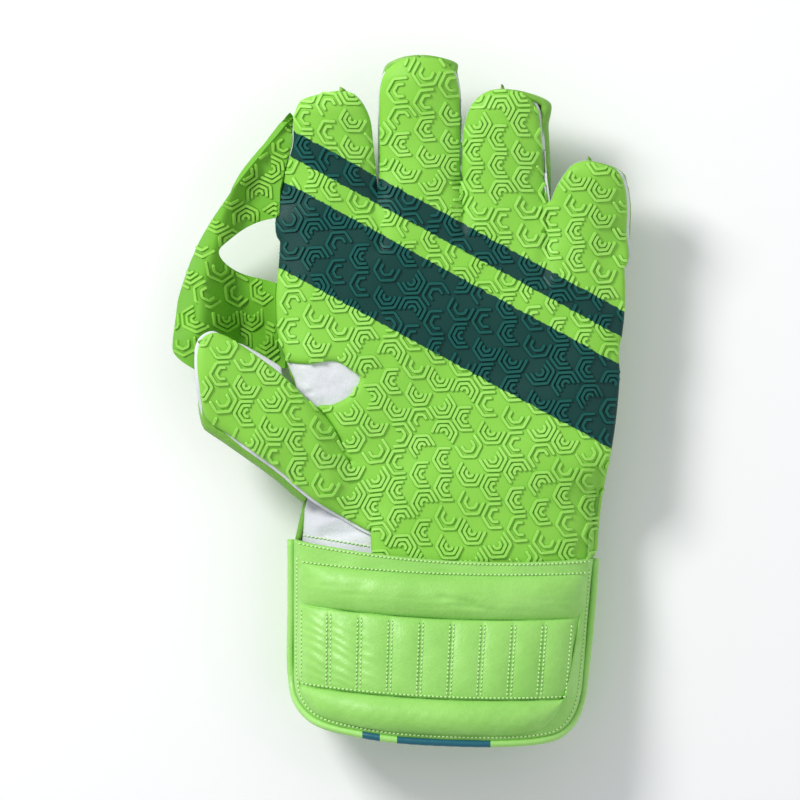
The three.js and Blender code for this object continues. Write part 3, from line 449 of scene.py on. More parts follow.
class Region:
    """A plan area: polygons joined, with others taken away, and its border as short straight pieces."""

    def __init__(self, add, take=(), step=1.6, flush=None):
        self.add = add
        self.take = take
        points = []
        edges = []
        for polygon in (*add, *take):
            first = len(points)
            points.extend(Vector((float(p[0]), float(p[1]))) for p in polygon)
            edges.extend((first + i, first + (i + 1) % len(polygon)) for i in range(len(polygon)))
        verts, _, faces, *_ = delaunay_2d_cdt(points, edges, [], 0, 1e-4)
        verts = np.array([tuple(v) for v in verts])
        faces = np.array(faces)
        kept = faces[self.holds(verts[faces].mean(axis=1))]
        sides = np.sort(np.vstack((kept[:, [0, 1]], kept[:, [1, 2]], kept[:, [2, 0]])), axis=1)
        sides, count = np.unique(sides, axis=0, return_counts=True)
        starts = []
        ends = []
        for i, j in sides[count == 1]:
            a, b = verts[i], verts[j]
            pieces = max(1, int(np.ceil(np.linalg.norm(b - a) / step)))
            for k in range(pieces):
                starts.append(mix(a, b, k / pieces))
                ends.append(mix(a, b, (k + 1) / pieces))
        self.starts = np.array(starts)
        self.ends = np.array(ends)
        along = unit(self.ends - self.starts)
        inward = np.stack((-along[:, 1], along[:, 0]), axis=1)
        middles = (self.starts + self.ends) / 2
        inward[~self.holds(middles + inward * 0.15)] *= -1
        self.middles = middles
        self.inward = inward
        self.counted = np.ones(len(middles), bool)
        if flush is not None:
            a, b = flush
            d = unit(np.subtract(b, a))
            off = (middles - a) @ np.array((-d[1], d[0]))
            along = (middles - a) @ d
            self.counted = ~((np.abs(off) < 0.1) & (along > 0) & (along < np.linalg.norm(np.subtract(b, a))))

    def holds(self, points):
        result = np.zeros(len(points), bool)
        for polygon in self.add:
            result |= inside(points, polygon)
        for polygon in self.take:
            result &= ~inside(points, polygon)
        return result

    def depth(self, points):
        """Distance of points from the border."""
        result = np.empty(len(points))
        starts = self.starts[self.counted]
        d = self.ends[self.counted] - starts
        length = np.maximum((d ** 2).sum(axis=1), 1e-12)
        for k in range(0, len(points), 2000):
            p = points[k:k + 2000, None, :]
            t = np.clip(((p - starts) * d).sum(axis=2) / length, 0, 1)
            gap = np.linalg.norm(p - starts - t[..., None] * d, axis=2)
            result[k:k + 2000] = gap.min(axis=1)
        return result

    def shown(self, points):
        """Depth inside, or -1 outside."""
        return np.where(self.holds(points), self.depth(points), -1)


def sheet_top(region, level, spacing, offsets=(0.6, 1.4, 2.6, 4.0)):
    """An open mesh over a region, finer along its border; level gets x, y and the depth inside."""
    points = [Vector(p) for p in np.vstack((region.starts, region.ends)).tolist()]
    count = len(region.starts)
    edges = [(i, count + i) for i in range(count)]
    loose = []
    for offset in offsets:
        ring = region.middles + region.inward * offset
        loose.append(ring[region.holds(ring) & (region.depth(ring) > 0.93 * offset)])
    low = region.starts.min(axis=0)
    high = region.starts.max(axis=0)
    rows = np.arange(low[1], high[1], spacing * math.sqrt(0.75))
    for k, y in enumerate(rows):
        x = np.arange(low[0] + (k % 2) * spacing / 2, high[0], spacing)
        line = np.stack((x, np.full_like(x, y)), axis=1)
        line = line[region.holds(line)]
        if len(line):
            loose.append(line[region.depth(line) > offsets[-1] + spacing * 0.6])
    points.extend(Vector(p) for p in np.vstack(loose).tolist())
    verts, _, faces, *_ = delaunay_2d_cdt(points, edges, [], 0, 1e-4)
    verts = np.array([tuple(v) for v in verts])
    faces = np.array(faces)
    kept = faces[region.holds(verts[faces].mean(axis=1))]
    used, back = np.unique(kept, return_inverse=True)
    flat = verts[used]
    z = level(flat[:, 0], flat[:, 1], region.depth(flat))
    bm = bmesh.new()
    made = [bm.verts.new((x * MM, y * MM, h * MM)) for (x, y), h in zip(flat, z)]
    for a, b, c in back.reshape(kept.shape):
        bm.faces.new((made[a], made[b], made[c]))
    bmesh.ops.recalc_face_normals(bm, faces=bm.faces)
    if sum(f.normal.z for f in bm.faces) < 0:
        bmesh.ops.reverse_faces(bm, faces=bm.faces)
    return bm


def give_thickness(bm, thickness):
    """Closes an open sheet by a copy of it lower down."""
    geometry = list(bm.verts) + list(bm.edges) + list(bm.faces)
    made = bmesh.ops.extrude_face_region(bm, geom=geometry, use_keep_orig=True)
    lower = [v for v in made["geom"] if isinstance(v, bmesh.types.BMVert)]
    bmesh.ops.translate(bm, verts=lower, vec=(0, 0, -thickness * MM))
    bmesh.ops.recalc_face_normals(bm, faces=bm.faces)


def surface_grid(columns, rows, place):
    """A grid moved to a surface: place takes arrays u and v from 0 to 1 and gives points."""
    bm = bmesh.new()
    bmesh.ops.create_grid(bm, x_segments=columns, y_segments=rows, size=0.5)
    flat = np.array([v.co[:2] for v in bm.verts]) + 0.5
    for vert, point in zip(bm.verts, place(flat[:, 0], flat[:, 1])):
        vert.co = Vector(point) * MM
    return bm


def ring_body(sides, rings, place):
    """A closed body of rings: place takes angle, share along and radius, and gives points."""
    def on_grid(u, v):
        row = v * (rings + 2)
        radius = np.clip(np.minimum(row, rings + 2 - row), 0, 1)
        share = np.clip((row - 1) / rings, 0, 1)
        return place(u * math.tau, share, radius)
    bm = surface_grid(sides, rings + 2, on_grid)
    bmesh.ops.remove_doubles(bm, verts=bm.verts, dist=1e-6)
    return bm


def prism(outline, low, high):
    """An upright closed block over a plan outline."""
    bm = bmesh.new()
    verts = [bm.verts.new((p[0] * MM, p[1] * MM, low * MM)) for p in outline]
    face = bm.faces.new(verts)
    made = bmesh.ops.extrude_face_region(bm, geom=[face], use_keep_orig=True)
    top = [v for v in made["geom"] if isinstance(v, bmesh.types.BMVert)]
    bmesh.ops.translate(bm, verts=top, vec=(0, 0, (high - low) * MM))
    bmesh.ops.triangulate(bm, faces=bm.faces)
    return bm


def bake(piece):
    """Turns a piece's modifiers into mesh."""
    graph = bpy.context.evaluated_depsgraph_get()
    mesh = bpy.data.meshes.new_from_object(piece.evaluated_get(graph))
    piece.modifiers.clear()
    old = piece.data
    piece.data = mesh
    bpy.data.meshes.remove(old)


def wall(piece, thickness):
    """Gives an open sheet a wall on its inner side."""
    solid = piece.modifiers.new("wall", "SOLIDIFY")
    solid.thickness = thickness * MM
    solid.offset = -1
    solid.use_even_offset = False
    bake(piece)


def cut_away(piece, *bodies):
    """Takes closed bodies out of a piece."""
    for k, bm in enumerate(bodies):
        cutter = add_object(f"cutter_{k}", finish_mesh(bm, "cutter"))
        cut = piece.modifiers.new("cut", "BOOLEAN")
        cut.object = cutter
        cut.operation = "DIFFERENCE"
        cut.solver = "EXACT"
        bake(piece)
        mesh = cutter.data
        bpy.data.objects.remove(cutter)
        bpy.data.meshes.remove(mesh)


def mark(mesh, name, values):
    """Writes a number for every vertex, for the materials to read."""
    layer = mesh.attributes.new(name, "FLOAT", "POINT")
    layer.data.foreach_set("value", np.asarray(values, np.float32))


# The moulded grip: nested hexagon ribs, each with four sides and open towards one corner
GRIP_KINDS = (
    {"share": 0.4, "ribs": (5.3, 2.7)},
    {"share": 0.6, "ribs": (5.4, 3.45, 1.5)},
)
# Steps to a site's six neighbours, from 30 degrees round to 330, in even and in odd columns
NEIGHBOURS = (((1, 0), (0, 1), (-1, 0), (-1, -1), (0, -1), (1, -1)),
              ((1, 1), (0, 1), (-1, 1), (-1, 0), (0, -1), (1, 0)))


def open_rib(apothem):
    """Corner points of four sides of a hexagon, open towards +X."""
    angles = np.radians(np.arange(60, 301, 60))
    return apothem / math.cos(math.pi / 6) * np.stack((np.cos(angles), np.sin(angles)), axis=1)


def choose_way(draw, i, j, ways):
    """Which way a motif opens: not towards the opening of a neighbour that is laid already."""
    for way in draw.permutation(6):
        blocked = False
        for side in (way, (way - 1) % 6):
            step = NEIGHBOURS[i % 2][side]
            other = ways.get((i + step[0], j + step[1]))
            blocked = blocked or (other is not None and (side + 3) % 6 in (other, (other - 1) % 6))
        if not blocked:
            break
    return int(way)


def walk(points, step):
    """Samples along a line of straight sides, with the length run at each sample."""
    sides = np.linalg.norm(np.diff(points, axis=0), axis=1)
    ends = np.concatenate(([0], np.cumsum(sides)))
    at = np.linspace(0, ends[-1], max(2, int(ends[-1] / step) + 1))
    return np.stack([np.interp(at, ends, points[:, k]) for k in (0, 1)], axis=1), at, ends


def runs_of(free):
    """Start and end of each unbroken run of true values."""
    edges = np.flatnonzero(np.diff(np.concatenate(([False], free, [False]))))
    return list(zip(edges[::2], edges[1::2] - 1))


def lay_grip(low, high, pitch, turn, seed):
    """Corner lines of the ribs in plan, on a honeycomb that is pulled a little out of true."""
    draw = np.random.default_rng(seed)
    middle = np.add(low, high) / 2
    spread = int(max(np.subtract(high, low)) / pitch) + 4
    c, s = math.cos(turn), math.sin(turn)
    lines = []
    ways = {}
    for i in range(-spread, spread + 1):
        for j in range(-spread, spread + 1):
            x = i * pitch * math.sqrt(0.75)
            y = (j + (i % 2) / 2) * pitch
            site = middle + np.array((c * x - s * y, s * x + c * y))
            way = choose_way(draw, i, j, ways)
            ways[i, j] = way
            kind = draw.random()
            if np.any(site < np.subtract(low, 6)) or np.any(site > np.add(high, 6)):
                continue
            for row in GRIP_KINDS:
                kind -= row["share"]
                if kind <= 0:
                    break
            a = turn + math.radians(60) * way
            spin = np.array(((math.cos(a), math.sin(a)), (-math.sin(a), math.cos(a))))
            for apothem in row["ribs"]:
                line = open_rib(apothem) @ spin + site
                pull = np.stack((unevenness(line[:, 0], line[:, 1], 70, seed + 1),
                                 unevenness(line[:, 0], line[:, 1], 70, seed + 2)), axis=1)
                lines.append(line + 1.1 * pull)
    return lines


def round_corners(line, cut):
    """Two points in place of each corner."""
    points = [line[0]]
    for before, corner, after in zip(line, line[1:], line[2:]):
        for other in (before, after):
            reach = min(cut, np.linalg.norm(other - corner) * 0.4)
            points.append(corner + unit(other - corner) * reach)
    points.append(line[-1])
    return np.array(points)


# Section of a rib: share of its half width out, share of its height up, and the relief that the material
# paints shade from, which is below zero where the shade is painted darkest, at the rib's foot
RIB_SECTION = ((-1.35, -0.35), (-1.02, 0.3), (-0.74, 0.96), (0.74, 0.96), (1.02, 0.3), (1.35, -0.35))
RIB_RELIEF_SHADE = (-1.0, -0.5, 1.0, 1.0, -0.5, -1.0)


def rib_mesh(lines, tree, depth, owner, half_width, height):
    """Closed ribs that follow a surface. depth says how far inside the sheet a plan point is, and
    owner which points belong to this piece."""
    verts = []
    faces = []
    relief_shade = []
    for line in lines:
        samples, at, ends = walk(line, 0.4)
        free = depth(samples) > 0.35
        for first, last in runs_of(free):
            if at[last] - at[first] < 3.4 or not owner(samples[(first + last) // 2][None])[0]:
                continue
            between = [line[k] for k in range(len(line)) if at[first] + 0.3 < ends[k] < at[last] - 0.3]
            path = round_corners(np.array([samples[first], *between, samples[last]]), 0.4)
            start = path[0] + unit(path[1] - path[0]) * 0.55
            end = path[-1] + unit(path[-2] - path[-1]) * 0.55
            path = np.vstack((path[:1], start, path[1:-1], end, path[-1:]))
            hits = [tree.ray_cast(Vector((p[0] * MM, p[1] * MM, 0.2)), Vector((0, 0, -1))) for p in path]
            if any(hit[0] is None for hit in hits):
                continue
            centres = np.array([hit[0] for hit in hits]) / MM
            normals = unit(np.array([hit[1] for hit in hits]) + np.array((0, 0, 0.25)))
            tangent = np.gradient(centres, axis=0)
            across = unit(np.cross(normals, tangent))
            scale = np.ones(len(path))
            scale[[0, -1]] = 0.5
            first_vert = len(verts)
            for centre, normal, side, size in zip(centres, normals, across, scale):
                for (out, up), mark_value in zip(RIB_SECTION, RIB_RELIEF_SHADE):
                    lift = up * height * (size if up > 0 else 1)
                    verts.append((centre + side * out * half_width * size + normal * lift) * MM)
                    relief_shade.append(mark_value)
            sides = len(RIB_SECTION)
            for k in range(len(path) - 1):
                for m in range(sides):
                    a = first_vert + k * sides + m
                    b = first_vert + k * sides + (m + 1) % sides
                    faces.append((a, b, b + sides, a + sides))
            faces.append(tuple(range(first_vert, first_vert + sides)))
            faces.append(tuple(range(len(verts) - 1, len(verts) - sides - 1, -1)))
    mesh = bpy.data.meshes.new("ribs")
    mesh.from_pydata([tuple(v) for v in verts], [], faces)
    bm = bmesh.new()
    bm.from_mesh(mesh)
    bmesh.ops.recalc_face_normals(bm, faces=bm.faces)
    bm.to_mesh(mesh)
    bm.free()
    return mesh, relief_shade


def ribbed_sheet(name, base, tree, lines, depth, owner, sizes):
    """Joins a closed rubber sheet with its ribs, and writes the rib heights that the material paints shade
    from.
    """
    plain = len(base.vertices)
    ribs, relief_shade = rib_mesh(lines, tree, depth, owner, sizes.rib_width / MM / 2, sizes.rib_height / MM)
    joined = bmesh.new()
    joined.from_mesh(base)
    joined.from_mesh(ribs)
    mesh = bpy.data.meshes.new(name)
    joined.to_mesh(mesh)
    joined.free()
    mesh.shade_smooth()
    mesh.set_sharp_from_angle(angle=math.radians(42))
    # The material paints shade from these values: the plain sheet gets 0 and the rib's foot -1.
    mark(mesh, "relief_shade", [0.0] * plain + relief_shade)
    bpy.data.meshes.remove(base)
    bpy.data.meshes.remove(ribs)
    return add_object(name, mesh)


# The face of the palm and fingers
SLITS = (((-10.4, 94.7), (-9.3, 72)), ((28.3, 101.2), (28.6, 80)), ((67.3, 71.5), (66, 56)))


def face_relief(x, y, amount):
    z = amount * unevenness(x, y, 46, 5) + 0.35 * amount * unevenness(x, y, 21, 9)
    for a, b in SLITS:
        z = z - 1.8 * groove(x, y, a, b, 3)
    return z


def roll_drop(depth, width, drop):
    """How far an edge has rolled down at a depth inside the border."""
    t = 1 - np.clip(depth / width, 0, 1)
    return drop * (1 - np.sqrt(np.maximum(0, 1 - t * t)))


THUMB_ROOT_END = 22


def thumb_cover(grow_left, grow_right, whole=True):
    """Plan of the thumb on its side of the line where it meets the palm."""
    cover = clipped(THUMB.outline(grow_left, grow_right, 160), THUMB_JOIN[1], THUMB_JOIN[0])
    if whole:
        return cover
    far = THUMB.plan(THUMB_ROOT_END, 0)
    return clipped(cover, far, far + THUMB.side)


def face_region(lining=False):
    polygons = [palm_outline()]
    for finger in FINGERS.values():
        left, right = (finger.lining_left, finger.lining_right) if lining else (0, 0)
        polygons.append(finger.outline(left, right))
    take = [thumb_cover(0, 0, whole=False)]
    if not lining:
        take.append(cutout_outline())
    return Region(polygons, take, flush=THUMB_JOIN)


def palm_fold(x, y):
    """The soft valley between the thumb's root and the palm."""
    return 1.6 * groove(x, y, (-24, -22), (-12, -50), 6) + 0.8 * groove(x, y, (-8, -18), (8, -40), 7)


def build_rubber_faces(sizes, materials):
    roll = sizes.edge_roll / MM
    palm = face_region()
    thumb = Region([thumb_cover(0, 0)], flush=THUMB_JOIN)

    def palm_top(x, y, depth):
        return (face_level(x, y) + face_relief(x, y, 0.6) - palm_fold(x, y)
                - roll_drop(depth, roll * 1.6, roll))

    def thumb_top(x, y, depth):
        return (thumb_level(x, y) + face_relief(x, y, 0.6) - palm_fold(x, y)
                - roll_drop(depth, roll * 1.6, roll))

    tops = {"palm_rubber": sheet_top(palm, palm_top, 2.3), "thumb_rubber": sheet_top(thumb, thumb_top, 2.2)}
    both = bmesh.new()
    for name in ("thumb_rubber", "palm_rubber"):
        mesh = bpy.data.meshes.new(name)
        tops[name].to_mesh(mesh)
        both.from_mesh(mesh)
        bpy.data.meshes.remove(mesh)
    tree = BVHTree.FromBMesh(both)
    both.free()
    low = palm.starts.min(axis=0)
    high = palm.starts.max(axis=0)
    low[0] = thumb.starts[:, 0].min()
    low[1] = CUFF_TOP_Y
    lines = lay_grip(low, high, sizes.motif_pitch / MM, math.radians(3), 21)
    seen = Region([palm_outline(), *(finger.outline() for finger in FINGERS.values())],
                  [cutout_outline(), thumb_cover(0.4, 0.4)], flush=THUMB_JOIN)

    def depth(points):
        return np.maximum(seen.shown(points), thumb.shown(points))

    for name, node, owner in (("palm_rubber", "palm_face", lambda p: ~thumb.holds(p)),
                              ("thumb_rubber", "thumb_face", thumb.holds)):
        give_thickness(tops[name], RUBBER)
        base = finish_mesh(tops[name], name)
        piece = ribbed_sheet(name, base, tree, lines, depth, owner, sizes)
        dress(piece, materials["banded"], "ribbed_rubber", node)


def build_palm_lining(sizes, materials):
    region = face_region(True)
    roll = sizes.edge_roll / MM

    def level(x, y, depth):
        creases = 0.35 * unevenness(x, y, 9, 31) * smooth((-22 - x) / 12)
        seam = groove(x, y, (-44, 3), (-26, 8), 1.1)
        return (face_level(x, y) + face_relief(x, y, 0.6) - palm_fold(x, y) + LINING_TOP + creases
                - 0.9 * seam - roll_drop(depth + 0.4, roll * 1.6, roll * 0.5))

    bm = sheet_top(region, level, 2.6)
    give_thickness(bm, LINING)
    piece = add_object("palm_white_leather", finish_mesh(bm, "palm_white_leather"))
    return dress(piece, materials["white"], "white_leather", "palm_lining")


def build_thumb_lining(sizes, materials):
    roll = sizes.edge_roll / MM
    strip = THUMB.outline(THUMB.lining_left, 0, 160)
    # On the upper edge the white shows along the free end alone, and widens towards the palm.
    share = THUMB.along(strip[:, 0], strip[:, 1]) / THUMB.length
    right = THUMB.across(strip[:, 0], strip[:, 1]) > 0
    shown = smooth((share - 0.61) / 0.04) * smooth((0.89 - share) / 0.05)
    wide = mix(THUMB.lining_right, 0.6, np.clip((share - 0.65) / 0.2, 0, 1))
    strip = strip + (right * mix(-0.6, wide, shown))[:, None] * THUMB.side
    region = Region([clipped(strip, THUMB_JOIN[1], THUMB_JOIN[0])], flush=THUMB_JOIN)

    def under(x, y, depth):
        return (thumb_level(x, y) + face_relief(x, y, 0.6) - palm_fold(x, y) + LINING_TOP
                - roll_drop(depth + 0.6, roll * 1.6, roll * 0.5))

    bm = sheet_top(region, under, 2.6)
    give_thickness(bm, LINING)
    lining = add_object("thumb_white_leather", finish_mesh(bm, "thumb_white_leather"))
    dress(lining, materials["white"], "white_leather", "thumb_lining")


# White gusset between the thumb and the cuff
def gusset_level(x, y):
    creases = (0.5 * unevenness(x, y, 11, 41)
               + 0.8 * groove(x, y, (-38, -58), (-18, -52), 1.6)
               - 0.8 * groove(x, y, (-36, -63), (-14, -60), 1.5))
    return palm_level(x, y) + LINING_BOTTOM - 0.6 + creases


def build_gusset(materials):
    right = palm_point(0, -0.222)[0] + 4
    low = PALM_WRIST_Y - PALM_TUCK
    high = palm_y(0.24)
    outline = np.array(((-48.6, low), (right, low), (right, high), (-41, high), (-43.6, -48), (-48.2, -65)))
    region = Region([outline])
    bm = sheet_top(region, lambda x, y, depth: gusset_level(x, y), 1.8)
    give_thickness(bm, LINING)
    piece = add_object("gusset", finish_mesh(bm, "gusset"))
    return dress(piece, materials["white"], "white_leather", "wrist_gusset")


# Padded backs
def finger_section(finger, level, inset, along, angle, radius):
    """Points of a finger's padded body at lengths along it, at angles round it."""
    grown = (1 + finger.proud_tip) * finger.length - inset
    reach = along / grown
    w = finger.width
    square = np.clip((reach - FINGER_BLUNT_FROM) / (1 - FINGER_BLUNT_FROM), 0, 1)
    square = (1 - square ** 2.7) ** (1 / 2.4)
    closing = np.sqrt(1 - np.clip((reach - 0.9) / 0.1, 0, 1) ** 2)
    sides = []
    for name, proud, share in (("left", finger.proud_left, finger.square[0]),
                               ("right", finger.proud_right, finger.square[1])):
        own = finger.edge(name, reach)
        blunt = finger.edge(name, np.minimum(reach, FINGER_BLUNT_FROM)) * square
        faded = proud * smooth((1.02 - reach) / finger.proud_fade)
        lobe = sum(more * np.exp(-((reach - at) / spread) ** 2)
                   for side, at, spread, more in finger.lobes if side == name)
        sides.append((mix(own, np.maximum(blunt, 0), share) + (faded + lobe) * closing) * w - inset)
    left, right = sides
    half = np.maximum(0.25, (left + right) / 2)
    middle = (right - left) / 2
    c = np.cos(angle)
    s = np.sin(angle)
    across = middle + half * radius * np.sign(c) * np.abs(c) ** SHELL_POWER
    p = finger.plan(along, across)
    centre = finger.plan(along, middle)
    top = level(centre[..., 0], centre[..., 1]) + FINGER_ROOF
    rounding = np.sqrt(np.maximum(0, 1 - np.maximum(0, (reach - 0.72) / 0.3) ** 2))
    depth = mix(FINGER_DEPTH, FINGER_TIP_DEPTH, np.clip(reach, 0, 1)) * mix(0.35, 1, rounding)
    bottom = top - FINGER_ROOF - depth + inset
    lobe = FINGER_ROLL_DEPTH * np.exp(-((across - middle) / (w * 0.12)) ** 2)
    seat = mix(bottom, top, 0.55)
    edge = np.abs(s) ** SHELL_POWER * radius
    z = np.where(s > 0, mix(seat, top, edge), mix(seat, bottom + lobe * radius, edge))
    return np.stack((p[..., 0], p[..., 1], np.maximum(inset, z)), axis=-1), across - middle, seat, top


def finger_body(finger, level, inset, start, sides=40, rings=28):
    def place(angle, share, radius):
        t = np.sin(share * math.pi / 2) ** 0.9
        grown = (1 + finger.proud_tip) * finger.length - inset
        along = mix(start * finger.length, grown, t)
        return finger_section(finger, level, inset, along, angle, radius)[0]
    return ring_body(sides, rings, place)


KNUCKLE_LEFT = (PALM_AXIS_X - 0.52 * PALM_WIDTH, 98)
KNUCKLE_RIGHT = (PALM_AXIS_X + 0.54 * PALM_WIDTH, 66)


def knuckle_y(x):
    return mix(KNUCKLE_LEFT[1], KNUCKLE_RIGHT[1],
               (x - KNUCKLE_LEFT[0]) / (KNUCKLE_RIGHT[0] - KNUCKLE_LEFT[0]))


def finger_cup(finger, level, start, sides=56, rings=44, ridges=(0.3, 0.55, 0.78)):
    """The open back of a finger, from its right rim round the back to its left rim."""
    def place(u, v):
        grown = (1 + finger.proud_tip) * finger.length
        t = np.sin(v * math.pi / 2) ** 0.9
        around = -u * math.pi
        guess = finger.width * 0.5 * np.cos(around)
        first = start(finger, guess)
        along = mix(first, grown, t)
        _, _, seat, top = finger_section(finger, level, 0, along, around, 1.0)
        rim = top - FINGER_ROOF + LINING_BOTTOM - GAP - FINGER_CROWN * 0.85
        up = np.clip((rim - seat) / (top - seat), 0.02, 0.9) ** (1 / SHELL_POWER)
        extra = np.arcsin(up)
        angle = extra - u * (math.pi + 2 * extra)
        points, out, _, _ = finger_section(finger, level, 0, along, angle, 1.0)
        lower = smooth(-np.sin(angle) * 1.6)
        seam = np.exp(-(out / 1.1) ** 2) * lower
        joint = sum(np.exp(-((along / finger.length - r) * finger.length / 2.2) ** 2) for r in ridges)
        side_seam = np.exp(-((np.sin(angle) + 0.28) / 0.05) ** 2)
        inward = 1.1 * seam + 0.8 * joint * lower + 0.7 * side_seam
        lip = smooth((np.abs(u - 0.5) - 0.47) / 0.03)
        points[..., :2] += (finger.plan(along, finger.across(points[..., 0], points[..., 1]) * 0.86)
                            - points[..., :2]) * lip[..., None]
        centre = finger.plan(along, 0 * along)
        away = points - np.stack((centre[..., 0], centre[..., 1], seat), axis=-1)
        inward = inward * np.clip(np.linalg.norm(away, axis=-1) / 12, 0, 1) * smooth((0.99 - v) / 0.1)
        away = unit(away)
        wave = 0.35 * unevenness(points[..., 0] * 1.4, points[..., 1] + points[..., 2], 17, 3)
        points = points - away * (inward - wave * lower)[..., None]
        points[..., 2] = np.maximum(points[..., 2], 0)
        return points
    return surface_grid(sides, rings, place)


def build_finger_backs(materials):
    def start(finger, out):
        return knuckle_y(finger.root[0] + out) + GAP / 2 - finger.root[1]

    for name, finger in FINGERS.items():
        bm = finger_cup(finger, face_level, start)
        piece = add_object(f"{name}_back", finish_mesh(bm, f"{name}_back"))
        outward(piece)
        wall(piece, SHELL)
        dress(piece, materials["back"], "back_leather", f"{name}_shell", fill=0.6)


def outward(piece):
    """Turns an open cup so that its faces point away from its middle."""
    mesh = piece.data
    middle = sum((v.co for v in mesh.vertices), Vector()) / len(mesh.vertices)
    votes = sum((face.center - middle).dot(face.normal) * face.area for face in mesh.polygons)
    if votes < 0:
        mesh.flip_normals()


def build_thumb_back(materials):
    def start(finger, out):
        return np.full_like(out, -0.1 * finger.length)

    bm = finger_cup(THUMB, thumb_level, start, ridges=(0.42, 0.68))
    piece = add_object("thumb_back", finish_mesh(bm, "thumb_back"))
    outward(piece)
    wall(piece, SHELL)
    cut_away(piece, hand_body(-GAP))
    dress(piece, materials["back"], "back_leather", "thumb_shell", fill=0.6)


def hand_section(inset, along, angle, radius):
    left = column(HAND_ROWS, 0, 1, along) * PALM_WIDTH - inset
    right = column(HAND_ROWS, 0, 2, along) * PALM_WIDTH - inset
    half = (left + right) / 2
    middle = PALM_AXIS_X + (right - left) / 2
    c = np.cos(angle)
    s = np.sin(angle)
    x = middle + half * radius * np.sign(c) * np.abs(c) ** HAND_POWER
    y = palm_y(along)
    seam = mix(WRIST_SEAM_HEIGHT, PALM_HEIGHT * 0.62, smooth(along * 3))
    rise = column(HAND_ROWS, 0, 3, along) * PALM_HEIGHT
    bottom = rise + inset - np.where(rise > 0.5, 0, BOTTOM_FLAT)
    top = PALM_HEIGHT + HAND_ROOF
    edge = np.abs(s) ** HAND_POWER * radius
    z = np.where(s > 0, mix(seam, top, edge), mix(seam, bottom, edge))
    return np.stack((x, y, np.maximum(inset, z)), axis=-1), seam, top


def hand_body(inset, sides=48, rings=24):
    def place(angle, share, radius):
        return hand_section(inset, mix(-0.05, 1.15, share), angle, radius)[0]
    return ring_body(sides, rings, place)


def cover_level(x, y):
    """Lowest surface that lies over the back of the hand's rim."""
    level = face_level(x, y) + LINING_BOTTOM
    under_gusset = (x < palm_point(0, -0.2)[0]) & (y < palm_y(0.24))
    level = np.where(under_gusset, palm_level(x, y) + LINING_BOTTOM - 0.6 - LINING, level)
    thumb = thumb_level(x, y) + LINING_BOTTOM
    near = (THUMB.along(x, y) > -4) & (np.abs(THUMB.across(x, y)) < THUMB.width * 0.6) & (x < -20)
    return np.where(near, np.minimum(level, thumb), level)


def build_hand_back(materials):
    seams = [(-10.5, -20), (28.5, 12), (67, 46)]

    def place(u, v):
        guess, _, _ = hand_section(0, np.full_like(u, 0.5), -u * math.pi, 1.0)
        x = guess[..., 0]
        low_y = cuff_top_line(x) + GAP
        high_y = knuckle_y(x) - GAP / 2
        along = (mix(low_y, high_y, v) - PALM_WRIST_Y) / PALM_LENGTH
        flat, seam, top = hand_section(0, along, -u * math.pi, 1.0)
        rim = cover_level(flat[..., 0], flat[..., 1]) - GAP
        up = np.clip((rim - seam) / (top - seam), 0.01, 0.9) ** (1 / HAND_POWER)
        extra = np.arcsin(up)
        angle = extra - u * (math.pi + 2 * extra)
        points, _, _ = hand_section(0, along, angle, 1.0)
        lower = smooth(-np.sin(angle) * 2)
        inward = 0
        for knuckle_x, wrist_x in seams:
            line_x = mix(wrist_x, knuckle_x, np.clip(v, 0, 1))
            inward = inward + 1.5 * np.exp(-((points[..., 0] - line_x) / 1.6) ** 2)
        inward = inward + 1.3 * np.exp(-((v - 0.2) * 150 / 2.2) ** 2)
        inward = inward + 0.9 * np.exp(-((v - 0.97) * 150 / 2.0) ** 2)
        wave = 0.5 * unevenness(points[..., 0], points[..., 1], 34, 8) + 0.5
        points[..., 2] += (inward + wave) * lower * np.where(points[..., 2] < 30, 1, 0)
        return points

    bm = surface_grid(110, 84, place)
    piece = add_object("hand_back", finish_mesh(bm, "hand_back"))
    outward(piece)
    wall(piece, SHELL)
    return dress(piece, materials["back"], "back_leather", "back_of_hand", fill=0.4)


# Web between the thumb and the index finger
def web_seam_x(y):
    index = FINGERS["index"]
    share = (y - PALM_WRIST_Y) / PALM_LENGTH
    palm = PALM_AXIS_X + column(PALM_WEB_ROWS, 0, 1, share) * PALM_WIDTH
    finger = index.root[0] - index.edge("left", (y - index.root[1]) / index.length) * index.width
    return np.where(y > index.root[1] + 10, finger, palm) - 0.4


